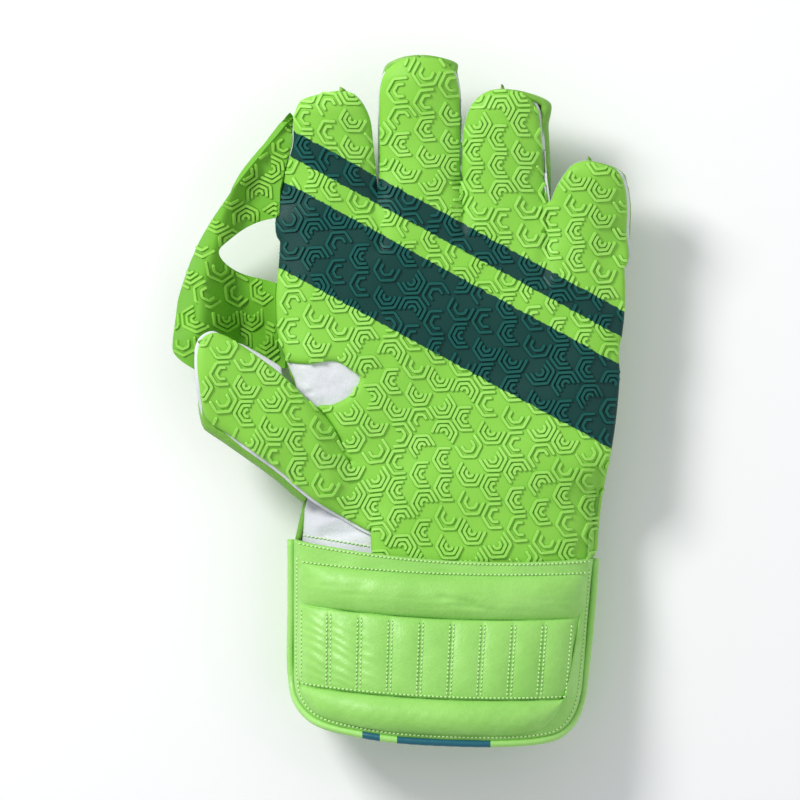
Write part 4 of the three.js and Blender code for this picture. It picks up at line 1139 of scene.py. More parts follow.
def web_sheet(u, v):
    """A point of the untrimmed sheet."""
    at = np.clip(v, 0, 1) * (len(WEB_ROWS) - 1)
    table = np.array(WEB_ROWS)
    keys = np.arange(len(WEB_ROWS))
    value = {name: np.interp(at, keys, table[:, k]) for k, name in enumerate(WEB_COLUMNS)}
    out = value["out"]
    rim_x = WEB_CORNER[0] + WEB_BULGE - WEB_REACH * out - WEB_BULGE * np.minimum(1, out * 3)
    rim_y = WEB_CORNER[1] + WEB_LENGTH * value["up"]
    seam_y = WEB_CORNER[1] + WEB_LENGTH * value["seam_up"]
    seam_x = web_seam_x(seam_y)
    keys_x = (0 * u, value["crest_at"], value["valley_at"], 0 * u + 1)
    keys_h = (value["rim"], value["crest"], value["valley"], value["seam"])
    span = u * 3
    i = np.clip(span.astype(int), 0, 2)
    w = span - i

    def spline(keys):
        stack = np.array(keys)
        pick = np.arange(len(u))
        p0 = stack[np.maximum(i - 1, 0), pick]
        p1 = stack[i, pick]
        p2 = stack[np.minimum(i + 1, 3), pick]
        p3 = stack[np.minimum(i + 2, 3), pick]
        v0, v1 = (p2 - p0) / 2, (p3 - p1) / 2
        return ((2 * p1 - 2 * p2 + v0 + v1) * w ** 3 + (-3 * p1 + 3 * p2 - 2 * v0 - v1) * w ** 2
                + v0 * w + p1)

    across, height = spline(keys_x), spline(keys_h)
    x, y = mix(rim_x, seam_x, across), mix(rim_y, seam_y, across)
    z = height * WEB_CREST_HEIGHT + 0.7 * unevenness(x, y, 26, 14)
    return np.stack((x, y, z), axis=-1)


def web_rim():
    """The web's outer edge in plan, from the index finger down to the thumb."""
    points = [(WEB_CORNER[0] - WEB_REACH * out, WEB_CORNER[1] + WEB_LENGTH * up) for up, out in WEB_RIM_ROWS]
    return smooth_line(points, 90, False)


def web_surplus():
    """What the sheet has beyond that edge."""
    rim = web_rim()
    return np.vstack((rim, ((rim[-1, 0], -60), (-200, -60), (-200, 220), (rim[0, 0], 220))))[::-1]


def web_trim():
    """Where each section of the sheet meets the web's outer edge."""
    surplus = web_surplus()
    across = np.linspace(0, 1, 160)
    rows = np.linspace(0, 1, 90)
    first = []
    for row in rows:
        kept = ~inside(web_sheet(across, np.full_like(across, row))[:, :2], surplus)
        first.append(across[np.argmax(kept)] if kept.any() else 0.97)
    return rows, np.array(first)


def web_point(u, v, trim):
    return web_sheet(mix(np.interp(v, *trim), 1, u), v)


def web_hole():
    points = [(WEB_CORNER[0] + 0.6 - out * WEB_HOLE_WIDTH, WEB_HOLE_Y + up * WEB_HOLE_HEIGHT)
              for out, up in WEB_HOLE_ROWS]
    return smooth_line(points, 90, True)


def build_web(sizes, materials):
    trim = web_trim()
    bm = surface_grid(52, 84, lambda u, v: web_point(u, v, trim))
    bmesh.ops.recalc_face_normals(bm, faces=bm.faces)
    if sum(face.normal.z for face in bm.faces) < 0:
        bmesh.ops.reverse_faces(bm, faces=bm.faces)
    tree = BVHTree.FromBMesh(bm)
    piece = add_object("web_base", finish_mesh(bm, "web_base", closed=False))
    wall(piece, WEB_RUBBER)
    cut_away(piece, prism(web_hole(), -50, 200), finger_body(THUMB, thumb_level, -GAP, -0.1))
    rim = web_point(np.zeros(120), np.linspace(0, 1, 120), trim)[:, :2]
    seam = web_point(np.ones(120), np.linspace(1, 0, 120), trim)[:, :2]
    region = Region([np.vstack((rim, seam))], [web_hole(), THUMB.outline(1, 1)])
    lines = lay_grip(region.starts.min(axis=0), region.starts.max(axis=0), sizes.motif_pitch / MM,
                     math.radians(33), 55)
    mesh = piece.data
    bpy.data.objects.remove(piece)
    piece = ribbed_sheet("web_rubber", mesh, tree, lines, region.shown, region.holds, sizes)
    return dress(piece, materials["web"], "web_rubber", "web")


# Cuff
def swept(y, sweep):
    """A line across the cuff that sweeps up towards the thumb side."""
    return lambda x: y + sweep * ((x - CUFF_LOW_X) / 100) ** 2


# The upper padded roll starts at roll_line, just below the second row of stitches, and ends at
# crease_line. The channel panel lies between crease_line and stitch_line.
cuff_top_line = swept(CUFF_TOP_Y, 9.8)
roll_line = swept(CUFF_TOP_Y - 5.8, 6.1)
crease_line = swept(CUFF_TOP_Y - UPPER_ROLL_WIDTH - 2.2, 7.2)
stitch_line = swept(CUFF_TOP_Y - UPPER_ROLL_WIDTH - CHANNEL_PANEL_WIDTH - 4, 6.8)
CUFF_MOUTH_Y = CUFF_TOP_Y - CUFF_LENGTH + PIPING_ROOM
CUFF_SIDE_Y = CUFF_TOP_Y + 9


def cuff_share(y):
    return np.clip((CUFF_TOP_Y - y) / (CUFF_TOP_Y - CUFF_MOUTH_Y), -0.2, 1.1)


def cuff_span(y):
    left = CUFF_AXIS_X - CUFF_WIDTH / 2 + PIPING_ROOM
    right = CUFF_AXIS_X + CUFF_WIDTH / 2 - PIPING_ROOM - CUFF_TAPER * np.clip(cuff_share(y), 0, 1)
    return (left + right) / 2, (right - left) / 2


def cuff_apex(y):
    return mix(CUFF_WRIST_HEIGHT, CUFF_MOUTH_HEIGHT, smooth(cuff_share(y)))


def cuff_level(x, y):
    centre, half = cuff_span(y)
    return CUFF_SEAM_HEIGHT + (cuff_apex(y) - CUFF_SEAM_HEIGHT) * arch((x - centre) / half, 2.5)


def cuff_outline(inset, divisions=160):
    side = CUFF_SIDE_Y - (CUFF_TOP_Y - CUFF_LENGTH)
    points = [(CUFF_AXIS_X + across * CUFF_WIDTH, CUFF_SIDE_Y - down * side)
              for across, down in CUFF_OUTLINE_ROWS]
    line = smooth_line(points, divisions, False)
    tangent = unit(np.gradient(line, axis=0))
    return line + np.stack((-tangent[:, 1], tangent[:, 0]), axis=1) * inset


def mouth_y(x, inset):
    """The lowest Y of the cuff at a given X, inside its piping."""
    line = cuff_outline(inset)
    lowest = line[:, 1].argmin()
    left, right = line[:lowest + 1], line[lowest:]
    left = left[np.argsort(left[:, 0], kind="stable")]
    right = right[np.argsort(right[:, 0], kind="stable")]
    on_left = np.interp(x, left[:, 0], left[:, 1])
    on_right = np.interp(x, right[:, 0], right[:, 1])
    return np.where(x < line[lowest, 0], on_left, on_right)


def cuff_wall(front):
    """One half of the cuff's wall as an open sheet, from its left seam to its right seam."""
    def place(u, v):
        angle = (math.pi * (1 - u)) if front else (math.pi * (1 + u))
        c, s = np.cos(angle), np.sin(angle)
        y = np.full_like(u, CUFF_TOP_Y - CUFF_LENGTH / 2)
        for _ in range(4):
            centre, half = cuff_span(y)
            x = centre + (half + 0.7) * np.sign(c) * np.abs(c) ** 0.8
            y = mix(cuff_top_line(x), mouth_y(x, PIPING_ROOM - 0.9), v)
        edge = np.abs(s) ** 0.8
        if front:
            z = mix(CUFF_SEAM_HEIGHT + 0.15, cuff_apex(y), edge)
        else:
            z = np.maximum(0, mix(CUFF_SEAM_HEIGHT - 0.15, -2.5, edge))
            rows = np.exp(-((v - 0.3) / 0.02) ** 2) + np.exp(-((v - 0.72) / 0.02) ** 2)
            z = z + (1.2 * rows + 0.4 * unevenness(x, y, 22, 6) + 0.4) * smooth(edge * 2 - 1)
        if front:
            z = z + 0.3 * unevenness(x, y, 14, 4) * smooth(edge * 3)
            z = z - 1.3 * smooth((1.1 - (y - mouth_y(x, PIPING_ROOM - 0.9))) / 0.9)
        return np.stack((x, y, z), axis=-1)
    return surface_grid(120, 56, place)


def build_cuff_walls(materials):
    for front, name, node in ((True, "cuff_front_leather", "cuff_front"),
                              (False, "cuff_back_leather", "cuff_back")):
        piece = add_object(name, finish_mesh(cuff_wall(front), name))
        mesh = piece.data
        ups = sum(face.normal.z * face.area for face in mesh.polygons)
        if (ups < 0) == front:
            mesh.flip_normals()
        wall(piece, CUFF_LEATHER)
        dress(piece, materials["cuff"], "cuff_leather", node)


def pad_sides(y, right_margin):
    taper = CUFF_TAPER * np.clip(cuff_share(y), 0, 1)
    left = np.full_like(taper, CUFF_AXIS_X - CUFF_WIDTH / 2 + PIPING_ROOM + PAD_LEFT_MARGIN)
    right = CUFF_AXIS_X + CUFF_WIDTH / 2 - PIPING_ROOM - right_margin - taper
    return left, right


def cuff_pad(upper, lower, columns, rows, height, right_margin):
    """A padded area on the cuff's front: height gets u, v, x and y and gives how far it stands."""
    def plan(u, v):
        left, right = pad_sides(np.full_like(u, CUFF_TOP_Y), right_margin)
        guess = mix(left, right, u)
        y = mix(lower(guess), upper(guess), v)
        left, right = pad_sides(y, right_margin)
        return mix(left, right, u), y

    def place(u, v):
        # Rows gather at the borders, where the padding rises fastest.
        u = mix(u, 0.5 - 0.5 * np.cos(math.pi * u), 0.35)
        v = mix(v, 0.5 - 0.5 * np.cos(math.pi * v), 0.6)
        x, y = plan(u, v)
        return np.stack((x, y, cuff_level(x, y) + 0.35 + height(u, v, x, y)), axis=-1)

    bm = surface_grid(columns, rows, place)
    geometry = list(bm.verts) + list(bm.edges) + list(bm.faces)
    made = bmesh.ops.extrude_face_region(bm, geom=geometry, use_keep_orig=True)
    for vert in made["geom"]:
        if isinstance(vert, bmesh.types.BMVert):
            x, y = vert.co.x / MM, vert.co.y / MM
            vert.co.z = float(cuff_level(x, y) - 0.25) * MM
    return bm


def swollen(t, power):
    return np.sin(math.pi * np.clip(t, 0, 1)) ** power


def upper_roll_height(u, v, x, y):
    tall = UPPER_ROLL_HEIGHT * swollen(v, 0.62) * swollen(u, 0.3)
    tall = tall * (1 - 0.12 * (1 - v))
    folds = 0.3 * unevenness(x, y, 16, 61) + 0.12 * unevenness(x * 0.7, y * 2.4, 7, 62)
    dimple = 0.55 * (groove(x, y, (19, -91), (35, -94), 1.3) + groove(x, y, (23, -94.5), (38, -96), 1.0))
    return tall + (folds - dimple) * swollen(v, 0.8)


def channel_height(u, v, x, y):
    ribs = np.abs(np.sin(math.pi * u * CHANNELS)) ** 0.55
    base = CHANNEL_PANEL_HEIGHT * (0.5 + 0.5 * ribs) * swollen(v, 0.3)
    slant = (x + 44) * 0.5 + (y + 118)
    left = smooth((-2 - x) / 26)
    wrinkles = 0.28 * np.sin(slant * math.tau / 4.3 + 1.4 * unevenness(x, y, 15, 71)) * left
    return base + (wrinkles + 0.16 * unevenness(x, y, 12, 72)) * swollen(v, 0.8)


def lower_roll_height(u, v, x, y):
    tall = LOWER_ROLL_HEIGHT * swollen(v, 0.55) * swollen(u, 0.3)
    return tall + (0.25 * unevenness(x, y, 18, 81) + 0.1 * unevenness(x, y, 6, 82)) * swollen(v, 0.8)


def lower_roll_end(x):
    return np.maximum(stitch_line(x) - LOWER_ROLL_WIDTH, mouth_y(x, PIPING_ROOM + PAD_LEFT_MARGIN))


def build_cuff_pads(materials):
    pads = (
        ("upper_roll", "cuff_upper_roll", lambda x: roll_line(x) - 0.6,
         lambda x: crease_line(x) + 0.2, 150, 34, upper_roll_height, ROLL_RIGHT_MARGIN, 0.7),
        ("channel_panel", "cuff_channel_panel", lambda x: crease_line(x) - 0.2,
         lambda x: stitch_line(x) + 0.1, 216, 46, channel_height, PANEL_RIGHT_MARGIN, 0.5),
        ("lower_roll", "cuff_lower_roll", lambda x: stitch_line(x) - 0.3,
         lower_roll_end, 150, 28, lower_roll_height, ROLL_RIGHT_MARGIN, 0.7),
    )
    for name, node, upper, lower, columns, rows, height, margin, fill in pads:
        bm = cuff_pad(upper, lower, columns, rows, height, margin)
        piece = add_object(name, finish_mesh(bm, name))
        dress(piece, materials["cuff"], "cuff_leather", node, fill=fill)


# Corded edge
def piping_path():
    line = cuff_outline(PIPING_RADIUS, 240)
    line = line[line[:, 1] < cuff_top_line(line[:, 0])]
    first = (line[0, 0], cuff_top_line(line[0, 0]))
    last = (line[-1, 0], cuff_top_line(line[-1, 0]))
    line = np.vstack((first, line, last))
    centre, half = cuff_span(line[:, 1])
    inner = centre + (line[:, 0] - centre) * (1 - PIPING_RADIUS / half / 2)
    z = np.maximum(CUFF_SEAM_HEIGHT, cuff_level(inner, line[:, 1]) - CUFF_LEATHER / 2)
    for _ in range(60):
        z[1:-1] = (z[:-2] + 2 * z[1:-1] + z[2:]) / 4
    return np.column_stack((line, z))


def tube(path, radius, sides):
    """A round cord along a path, closed at both ends."""
    tangent = unit(np.gradient(path, axis=0))
    flat = unit(np.stack((-tangent[:, 1], tangent[:, 0], np.zeros(len(path))), axis=1))
    up = unit(np.cross(tangent, flat))
    count = len(path) - 1

    def place(angle, share, ring):
        k = np.clip(np.rint(share * count).astype(int), 0, count)
        c, s = np.cos(angle)[:, None], np.sin(angle)[:, None]
        thick = radius * (1 + 0.03 * np.sin(k * 1.7))
        return path[k] + (flat[k] * c + up[k] * s) * (ring * thick)[:, None]
    return ring_body(sides, count, place)


def build_piping(materials):
    bm = tube(piping_path(), PIPING_RADIUS, 14)
    piece = add_object("piping", finish_mesh(bm, "piping"))
    return dress(piece, materials["piping"], "piping_leather", "cuff_piping")


# Stitches
def stitch_rows():
    """Rows of thread: plan points, and the surface that each row lies on."""
    def cuff_face(x, y):
        return cuff_level(x, y)

    def panel_face(x, y):
        left, right = pad_sides(y, PANEL_RIGHT_MARGIN)
        v = (y - stitch_line(x)) / (crease_line(x) - stitch_line(x))
        u = (x - left) / (right - left)
        return cuff_level(x, y) + 0.35 + channel_height(u, v, x, y)

    rows = []
    x = np.linspace(-47, 87, 90)
    for line, off, ends in ((cuff_top_line, 1.1, (-47.5, 88.5)), (roll_line, 0, (-46, 86))):
        xs = np.linspace(*ends, 90)
        rows.append((np.stack((xs, line(xs) - off), axis=1), cuff_face))
    left, right = pad_sides(CUFF_TOP_Y - 0 * x, PANEL_RIGHT_MARGIN)
    v = np.linspace(0.05, 0.93, 40)
    for k in range(1, CHANNELS):
        for side in (-1, 1):
            u = np.full_like(v, k / CHANNELS)
            guess = mix(left[0], right[0], u)
            y = mix(stitch_line(guess), crease_line(guess), v)
            lo, hi = pad_sides(y, PANEL_RIGHT_MARGIN)
            xs = mix(lo, hi, u) + side * 0.95
            rows.append((np.stack((xs, y), axis=1), panel_face))
    for u_value in (0.012, 0.988):
        u = np.full_like(v, u_value)
        guess = mix(left[0], right[0], u)
        y = mix(stitch_line(guess), crease_line(guess), v)
        lo, hi = pad_sides(y, PANEL_RIGHT_MARGIN)
        rows.append((np.stack((mix(lo, hi, u), y), axis=1), panel_face))
    lo, hi = pad_sides(stitch_line(x), PANEL_RIGHT_MARGIN)
    xs = np.linspace(lo[0] + 1, hi[-1] - 1, 90)
    rows.append((np.stack((xs, stitch_line(xs) + 0.9), axis=1), panel_face))
    inner = cuff_outline(PIPING_ROOM + 0.9)
    inner = inner[inner[:, 1] < cuff_top_line(inner[:, 0]) - 4]
    rows.append((inner, cuff_face))
    gusset = np.stack((np.linspace(-47.5, -14, 20), np.linspace(-62.6, -68, 20)), axis=1)
    rows.append((gusset, gusset_level))
    return rows


def stitch_mesh(rows, pitch, offset, length, thickness, rise):
    """One small rounded body for each stitch along the rows, or for the painted shade in each needle hole.
    """
    bm = bmesh.new()
    bmesh.ops.create_uvsphere(bm, u_segments=6, v_segments=4, radius=1)
    template = np.array([v.co[:] for v in bm.verts])
    bm.verts.index_update()
    shape = [[v.index for v in f.verts] for f in bm.faces]
    bm.free()
    # The sphere's poles lie along Z, and a stitch runs along its first axis.
    template = template[:, [2, 0, 1]]
    verts = []
    faces = []
    for line, surface in rows:
        sides = np.linalg.norm(np.diff(line, axis=0), axis=1)
        ends = np.concatenate(([0], np.cumsum(sides)))
        for at in np.arange(pitch / 2 + offset, ends[-1], pitch):
            p = np.array([np.interp(at, ends, line[:, k]) for k in (0, 1)])
            q = np.array([np.interp(min(at + 0.5, ends[-1]), ends, line[:, k]) for k in (0, 1)])
            r = np.array([np.interp(max(at - 0.5, 0), ends, line[:, k]) for k in (0, 1)])
            a = np.array((*q, float(surface(q[0], q[1]))))
            b = np.array((*r, float(surface(r[0], r[1]))))
            centre = np.array((*p, float(surface(p[0], p[1])))) + (0, 0, thickness * rise)
            along = unit(a - b)
            across = unit(np.cross((0, 0, 1.0), along))
            up = np.cross(along, across)
            first = len(verts)
            size = np.array((length / 2, thickness / 2, thickness / 2))
            for v in template * size:
                verts.append((centre + along * v[0] + across * v[1] + up * v[2]) * MM)
            faces.extend([[first + i for i in face] for face in shape])
    mesh = bpy.data.meshes.new("stitches")
    mesh.from_pydata([tuple(v) for v in verts], [], faces)
    mesh.shade_smooth()
    return mesh


SEWN = ("cuff_front_leather", "upper_roll", "channel_panel", "lower_roll", "gusset")


def seated_rows():
    """The rows of thread, each on the highest piece that it is sewn to."""
    both = bmesh.new()
    for name in SEWN:
        both.from_mesh(bpy.data.objects[name].data)
    tree = BVHTree.FromBMesh(both)
    both.free()

    def seat(surface):
        def height(x, y):
            hit = tree.ray_cast(Vector((x * MM, y * MM, 0.2)), Vector((0, 0, -1)))[0]
            return hit.z / MM if hit else surface(x, y)
        return height

    return [(line, seat(surface)) for line, surface in stitch_rows()]


def build_stitches(sizes, materials):
    rows = seated_rows()
    pitch, thread = sizes.stitch_pitch / MM, sizes.thread / MM
    mesh = stitch_mesh(rows, pitch, 0, sizes.stitch_length / MM, thread, 0.2)
    dress(add_object("stitches", mesh), materials["thread"], "cuff_leather")
    # Small dark bodies between the stitches paint the shade inside the needle holes.
    holes = stitch_mesh(rows, pitch, pitch / 2, thread * 0.8, thread * 0.8, -0.1)
    dress(add_object("needle_holes", holes), materials["hole"], "cuff_leather")


# Material nodes
class Nodes:
    """Adds nodes and links them, so that a material reads top to bottom."""

    def __init__(self, tree):
        self.tree = tree
        self.count = 0

    def add(self, kind, inputs=None, **settings):
        item = self.tree.nodes.new(kind)
        item.location = (-1400 + 190 * (self.count // 5), 300 - 220 * (self.count % 5))
        self.count += 1
        for key, value in settings.items():
            setattr(item, key, value)
        for key, value in (inputs or {}).items():
            if isinstance(value, bpy.types.NodeSocket):
                self.tree.links.new(value, item.inputs[key])
            else:
                item.inputs[key].default_value = value
        return item

    def math(self, operation, a, b=0.0, c=0.0, clamp=False):
        item = self.add("ShaderNodeMath", {0: a, 1: b, 2: c}, operation=operation)
        item.use_clamp = clamp
        return item.outputs[0]

    def ramp(self, value, low, high, to_low=0.0, to_high=1.0):
        item = self.add("ShaderNodeMapRange", {"Value": value, "From Min": low, "From Max": high,
                                               "To Min": to_low, "To Max": to_high})
        item.interpolation_type = "SMOOTHSTEP"
        return item.outputs["Result"]

    def blend(self, share, a, b, kind="MIX"):
        item = self.add("ShaderNodeMix", data_type="RGBA", blend_type=kind)
        for index, value in ((0, share), (6, a), (7, b)):
            if isinstance(value, bpy.types.NodeSocket):
                self.tree.links.new(value, item.inputs[index])
            else:
                item.inputs[index].default_value = value
        return item.outputs[2]

    def noise(self, vector, scale, detail=3.0, rough=0.5, **settings):
        item = self.add("ShaderNodeTexNoise", {"Vector": vector, "Scale": scale, "Detail": detail,
                                               "Roughness": rough}, **settings)
        return item.outputs["Fac"]


def new_group(name, inputs, outputs):
    tree = bpy.data.node_groups.new(name, "ShaderNodeTree")
    for label, kind, default in inputs:
        socket = tree.interface.new_socket(label, in_out="INPUT", socket_type=kind)
        if default is not None:
            socket.default_value = default
    for label, kind in outputs:
        tree.interface.new_socket(label, in_out="OUTPUT", socket_type=kind)
    nodes = Nodes(tree)
    return tree, nodes, nodes.add("NodeGroupInput"), nodes.add("NodeGroupOutput")


def leather_grain_group():
    tree, nodes, given, out = new_group(
        "Leather grain",
        (("Vector", "NodeSocketVector", None), ("Pores per metre", "NodeSocketFloat", 900.0),
         ("Crease amount", "NodeSocketFloat", 0.4)),
        (("Height", "NodeSocketFloat"), ("Tone", "NodeSocketFloat")))
    vector = given.outputs["Vector"]
    pores = nodes.add("ShaderNodeTexVoronoi", {"Vector": vector, "Scale": given.outputs["Pores per metre"]},
                      feature="SMOOTH_F1").outputs["Distance"]
    fine = nodes.noise(vector, 2600.0, 2.0, 0.6)
    bent = nodes.add("ShaderNodeTexNoise", {"Vector": vector, "Scale": 60.0, "Detail": 2.0}).outputs["Color"]
    shift = nodes.add("ShaderNodeVectorMath", {0: bent, 1: (0.012, 0.012, 0.012)},
                      operation="MULTIPLY").outputs[0]
    moved = nodes.add("ShaderNodeVectorMath", {0: vector, 1: shift}, operation="ADD").outputs[0]
    cracks = nodes.add("ShaderNodeTexVoronoi", {"Vector": moved, "Scale": 230.0},
                       feature="DISTANCE_TO_EDGE").outputs["Distance"]
    lines = nodes.ramp(cracks, 0.0, 0.09)
    patches = nodes.ramp(nodes.noise(vector, 38.0, 2.0), 0.42, 0.66)
    crease = nodes.math("MULTIPLY", nodes.math("MULTIPLY", nodes.math("SUBTRACT", 1.0, lines), patches),
                        given.outputs["Crease amount"])
    grain = nodes.math("ADD", nodes.math("MULTIPLY", pores, 0.5), nodes.math("MULTIPLY", fine, 0.25))
    height = nodes.math("SUBTRACT", grain, crease)
    tree.links.new(height, out.inputs["Height"])
    tree.links.new(nodes.math("SUBTRACT", 1.0, crease, clamp=True), out.inputs["Tone"])
    return tree


def mottle_group():
    tree, nodes, given, out = new_group(
        "Worn colour",
        (("Vector", "NodeSocketVector", None), ("Light", "NodeSocketColor", None),
         ("Deep", "NodeSocketColor", None), ("Patches per metre", "NodeSocketFloat", 30.0)),
        (("Color", "NodeSocketColor"), ("Mask", "NodeSocketFloat")))
    slow = nodes.noise(given.outputs["Vector"], given.outputs["Patches per metre"], 4.0, 0.55)
    quick = nodes.noise(given.outputs["Vector"], 420.0, 2.0, 0.5)
    both = nodes.math("ADD", nodes.math("MULTIPLY", slow, 0.75), nodes.math("MULTIPLY", quick, 0.25))
    mask = nodes.ramp(both, 0.36, 0.64)
    tree.links.new(nodes.blend(mask, given.outputs["Light"], given.outputs["Deep"]), out.inputs["Color"])
    tree.links.new(mask, out.inputs["Mask"])
    return tree


# The two bands lie between these heights of the slanting line Y + BAND_SLOPE * X.
BAND_SLOPE = 0.545
BANDS = ((30.8, 71.9), (85.1, 97.6))


def band_group():
    """Mask of the two dark bands that cross the palm, with a slightly ragged border."""
    tree, nodes, given, out = new_group(
        "Palm bands", (("Vector", "NodeSocketVector", None),), (("Mask", "NodeSocketFloat"),))
    parts = nodes.add("ShaderNodeSeparateXYZ", {"Vector": given.outputs["Vector"]})
    slope = nodes.math("MULTIPLY_ADD", parts.outputs["X"], BAND_SLOPE, parts.outputs["Y"])
    ragged = nodes.math("SUBTRACT", nodes.noise(given.outputs["Vector"], 320.0, 3.0, 0.6), 0.5)
    at = nodes.math("MULTIPLY_ADD", ragged, 0.0026, slope)
    total = None
    for low, high in BANDS:
        middle, half = (low + high) / 2 * MM, (high - low) / 2 * MM
        off = nodes.math("ABSOLUTE", nodes.math("SUBTRACT", at, middle))
        mask = nodes.ramp(off, half - 0.0002, half + 0.0003, 1.0, 0.0)
        total = mask if total is None else nodes.math("MAXIMUM", total, mask)
    tree.links.new(total, out.inputs["Mask"])
    return tree


def shade(name, roughness, sheen=0.0, specular=0.5):
    material = bpy.data.materials.new(name)
    material.use_nodes = True
    tree = material.node_tree
    tree.nodes.clear()
    nodes = Nodes(tree)
    out = nodes.add("ShaderNodeOutputMaterial")
    shader = nodes.add("ShaderNodeBsdfPrincipled", {"Roughness": roughness, "Sheen Weight": sheen,
                                                    "Specular IOR Level": specular})
    tree.links.new(shader.outputs[0], out.inputs["Surface"])
    place = nodes.add("ShaderNodeTexCoord").outputs["Object"]
    return material, nodes, shader, place


def rgba(colour):
    return (*colour[:3], 1.0)


def rubber_material(name, light, deep, valley, groups, band=None):
    material, nodes, shader, place = shade(name, 0.55, specular=0.25)
    worn = nodes.add("ShaderNodeGroup", node_tree=groups["mottle"])
    nodes.tree.links.new(place, worn.inputs["Vector"])
    worn.inputs["Light"].default_value = rgba(light)
    worn.inputs["Deep"].default_value = rgba(deep)
    worn.inputs["Patches per metre"].default_value = 22.0
    # Painted shade: rubber between and beside the ribs takes the valley colour, and each rib's foot is
    # painted darker still.
    relief_shade = nodes.add("ShaderNodeAttribute", attribute_name="relief_shade").outputs["Fac"]
    low = nodes.ramp(relief_shade, 0.0, 0.7, 1.0, 0.0)
    foot_shade = nodes.ramp(relief_shade, -0.9, -0.1, 0.85, 0.0)
    colour = nodes.blend(low, worn.outputs["Color"], rgba(valley))
    colour = nodes.blend(foot_shade, colour, rgba([c * 0.45 for c in valley]))
    if band:
        bands = nodes.add("ShaderNodeGroup", node_tree=groups["bands"])
        nodes.tree.links.new(place, bands.inputs["Vector"])
        # Inside the bands the print is painted darker between the ribs, as painted shade.
        band_and_shade = nodes.blend(low, rgba(band[0]), rgba(band[1]))
        colour = nodes.blend(bands.outputs["Mask"], colour, band_and_shade)
    nodes.tree.links.new(colour, shader.inputs["Base Color"])
    speckle = nodes.noise(place, 1400.0, 3.0, 0.6)
    nodes.tree.links.new(nodes.ramp(speckle, 0.3, 0.7, 0.44, 0.6), shader.inputs["Roughness"])
    bump = nodes.add("ShaderNodeBump", {"Strength": 0.35, "Distance": 0.0002, "Height": speckle})
    nodes.tree.links.new(bump.outputs[0], shader.inputs["Normal"])
    return material


def leather_material(name, light, deep, groups, pores=900.0, crease=0.4, rough=(0.38, 0.55), bump=0.5,
                     teal=None):
    material, nodes, shader, place = shade(name, 0.45, sheen=0.06, specular=0.5)
    worn = nodes.add("ShaderNodeGroup", node_tree=groups["mottle"])
    nodes.tree.links.new(place, worn.inputs["Vector"])
    worn.inputs["Light"].default_value = rgba(light)
    worn.inputs["Deep"].default_value = rgba(deep)
    worn.inputs["Patches per metre"].default_value = 30.0
    grain = nodes.add("ShaderNodeGroup", node_tree=groups["grain"])
    nodes.tree.links.new(place, grain.inputs["Vector"])
    grain.inputs["Pores per metre"].default_value = pores
    grain.inputs["Crease amount"].default_value = crease
    shadow = nodes.blend(nodes.ramp(grain.outputs["Tone"], 0.3, 1.0, 0.35, 0.0),
                         worn.outputs["Color"], rgba([c * 0.55 for c in deep[:3]]))
    colour = shadow
    if teal:
        parts = nodes.add("ShaderNodeSeparateXYZ", {"Vector": place})
        total = None
        for low, high in TEAL_BLOCKS:
            middle, half = (low + high) / 2 * MM, (high - low) / 2 * MM
            off = nodes.math("ABSOLUTE", nodes.math("SUBTRACT", parts.outputs["X"], middle))
            mask = nodes.math("LESS_THAN", off, half)
            total = mask if total is None else nodes.math("MAXIMUM", total, mask)
        colour = nodes.blend(total, shadow, rgba(teal))
    nodes.tree.links.new(colour, shader.inputs["Base Color"])
    nodes.tree.links.new(nodes.ramp(worn.outputs["Mask"], 0.0, 1.0, *rough), shader.inputs["Roughness"])
    raised = nodes.add("ShaderNodeBump", {"Strength": bump, "Distance": 0.0004,
                                          "Height": grain.outputs["Height"]})
    nodes.tree.links.new(raised.outputs[0], shader.inputs["Normal"])
    return material


# Where the corded edge is teal, in X
TEAL_BLOCKS = ((-17.4, -9.3), (-1.4, 41.8))
MATERIALS = {}


def make_materials(colours):
    groups = {"mottle": mottle_group(), "grain": leather_grain_group(), "bands": band_group()}
    # The band's print colour, and the same darkened as painted shade between the ribs.
    band_and_shade = (colours.band, [c * 0.55 for c in colours.band])
    MATERIALS["banded"] = rubber_material("banded_rubber", colours.rubber, colours.rubber_deep,
                                          colours.rubber_valley_shade, groups, band_and_shade)
    MATERIALS["web"] = rubber_material("web_rubber", colours.web, colours.web_deep, colours.web_valley_shade,
                                       groups)
    MATERIALS["cuff"] = leather_material("cuff_leather", colours.cuff, colours.cuff_deep, groups,
                                         crease=0.15)
    MATERIALS["back"] = leather_material("back_leather", colours.back, colours.back_deep, groups,
                                         pores=700.0, crease=0.3)
    MATERIALS["white"] = leather_material("white_leather", colours.white, colours.white_deep, groups,
                                          pores=1100.0, crease=0.15, rough=(0.55, 0.7), bump=0.5)
    MATERIALS["piping"] = leather_material("piping_leather", colours.piping, colours.cuff, groups,
                                           pores=1200.0, crease=0.3, bump=0.35, teal=colours.teal)
    # Painted shade inside the needle holes.
    MATERIALS["hole"] = leather_material("needle_hole", colours.hole, colours.hole, groups, crease=0.0)
    MATERIALS["thread"] = leather_material("thread", colours.thread, colours.thread, groups,
                                           pores=2500.0, crease=0.0, bump=0.4)


# Settings
def length(name, description, default):
    return FloatProperty(name=name, description=description, default=default, min=0.0, unit="LENGTH",
                         subtype="DISTANCE", precision=5)


def colour(name, description, default):
    return FloatVectorProperty(name=name, description=description, default=default, size=3, min=0.0,
                               max=1.0, subtype="COLOR")


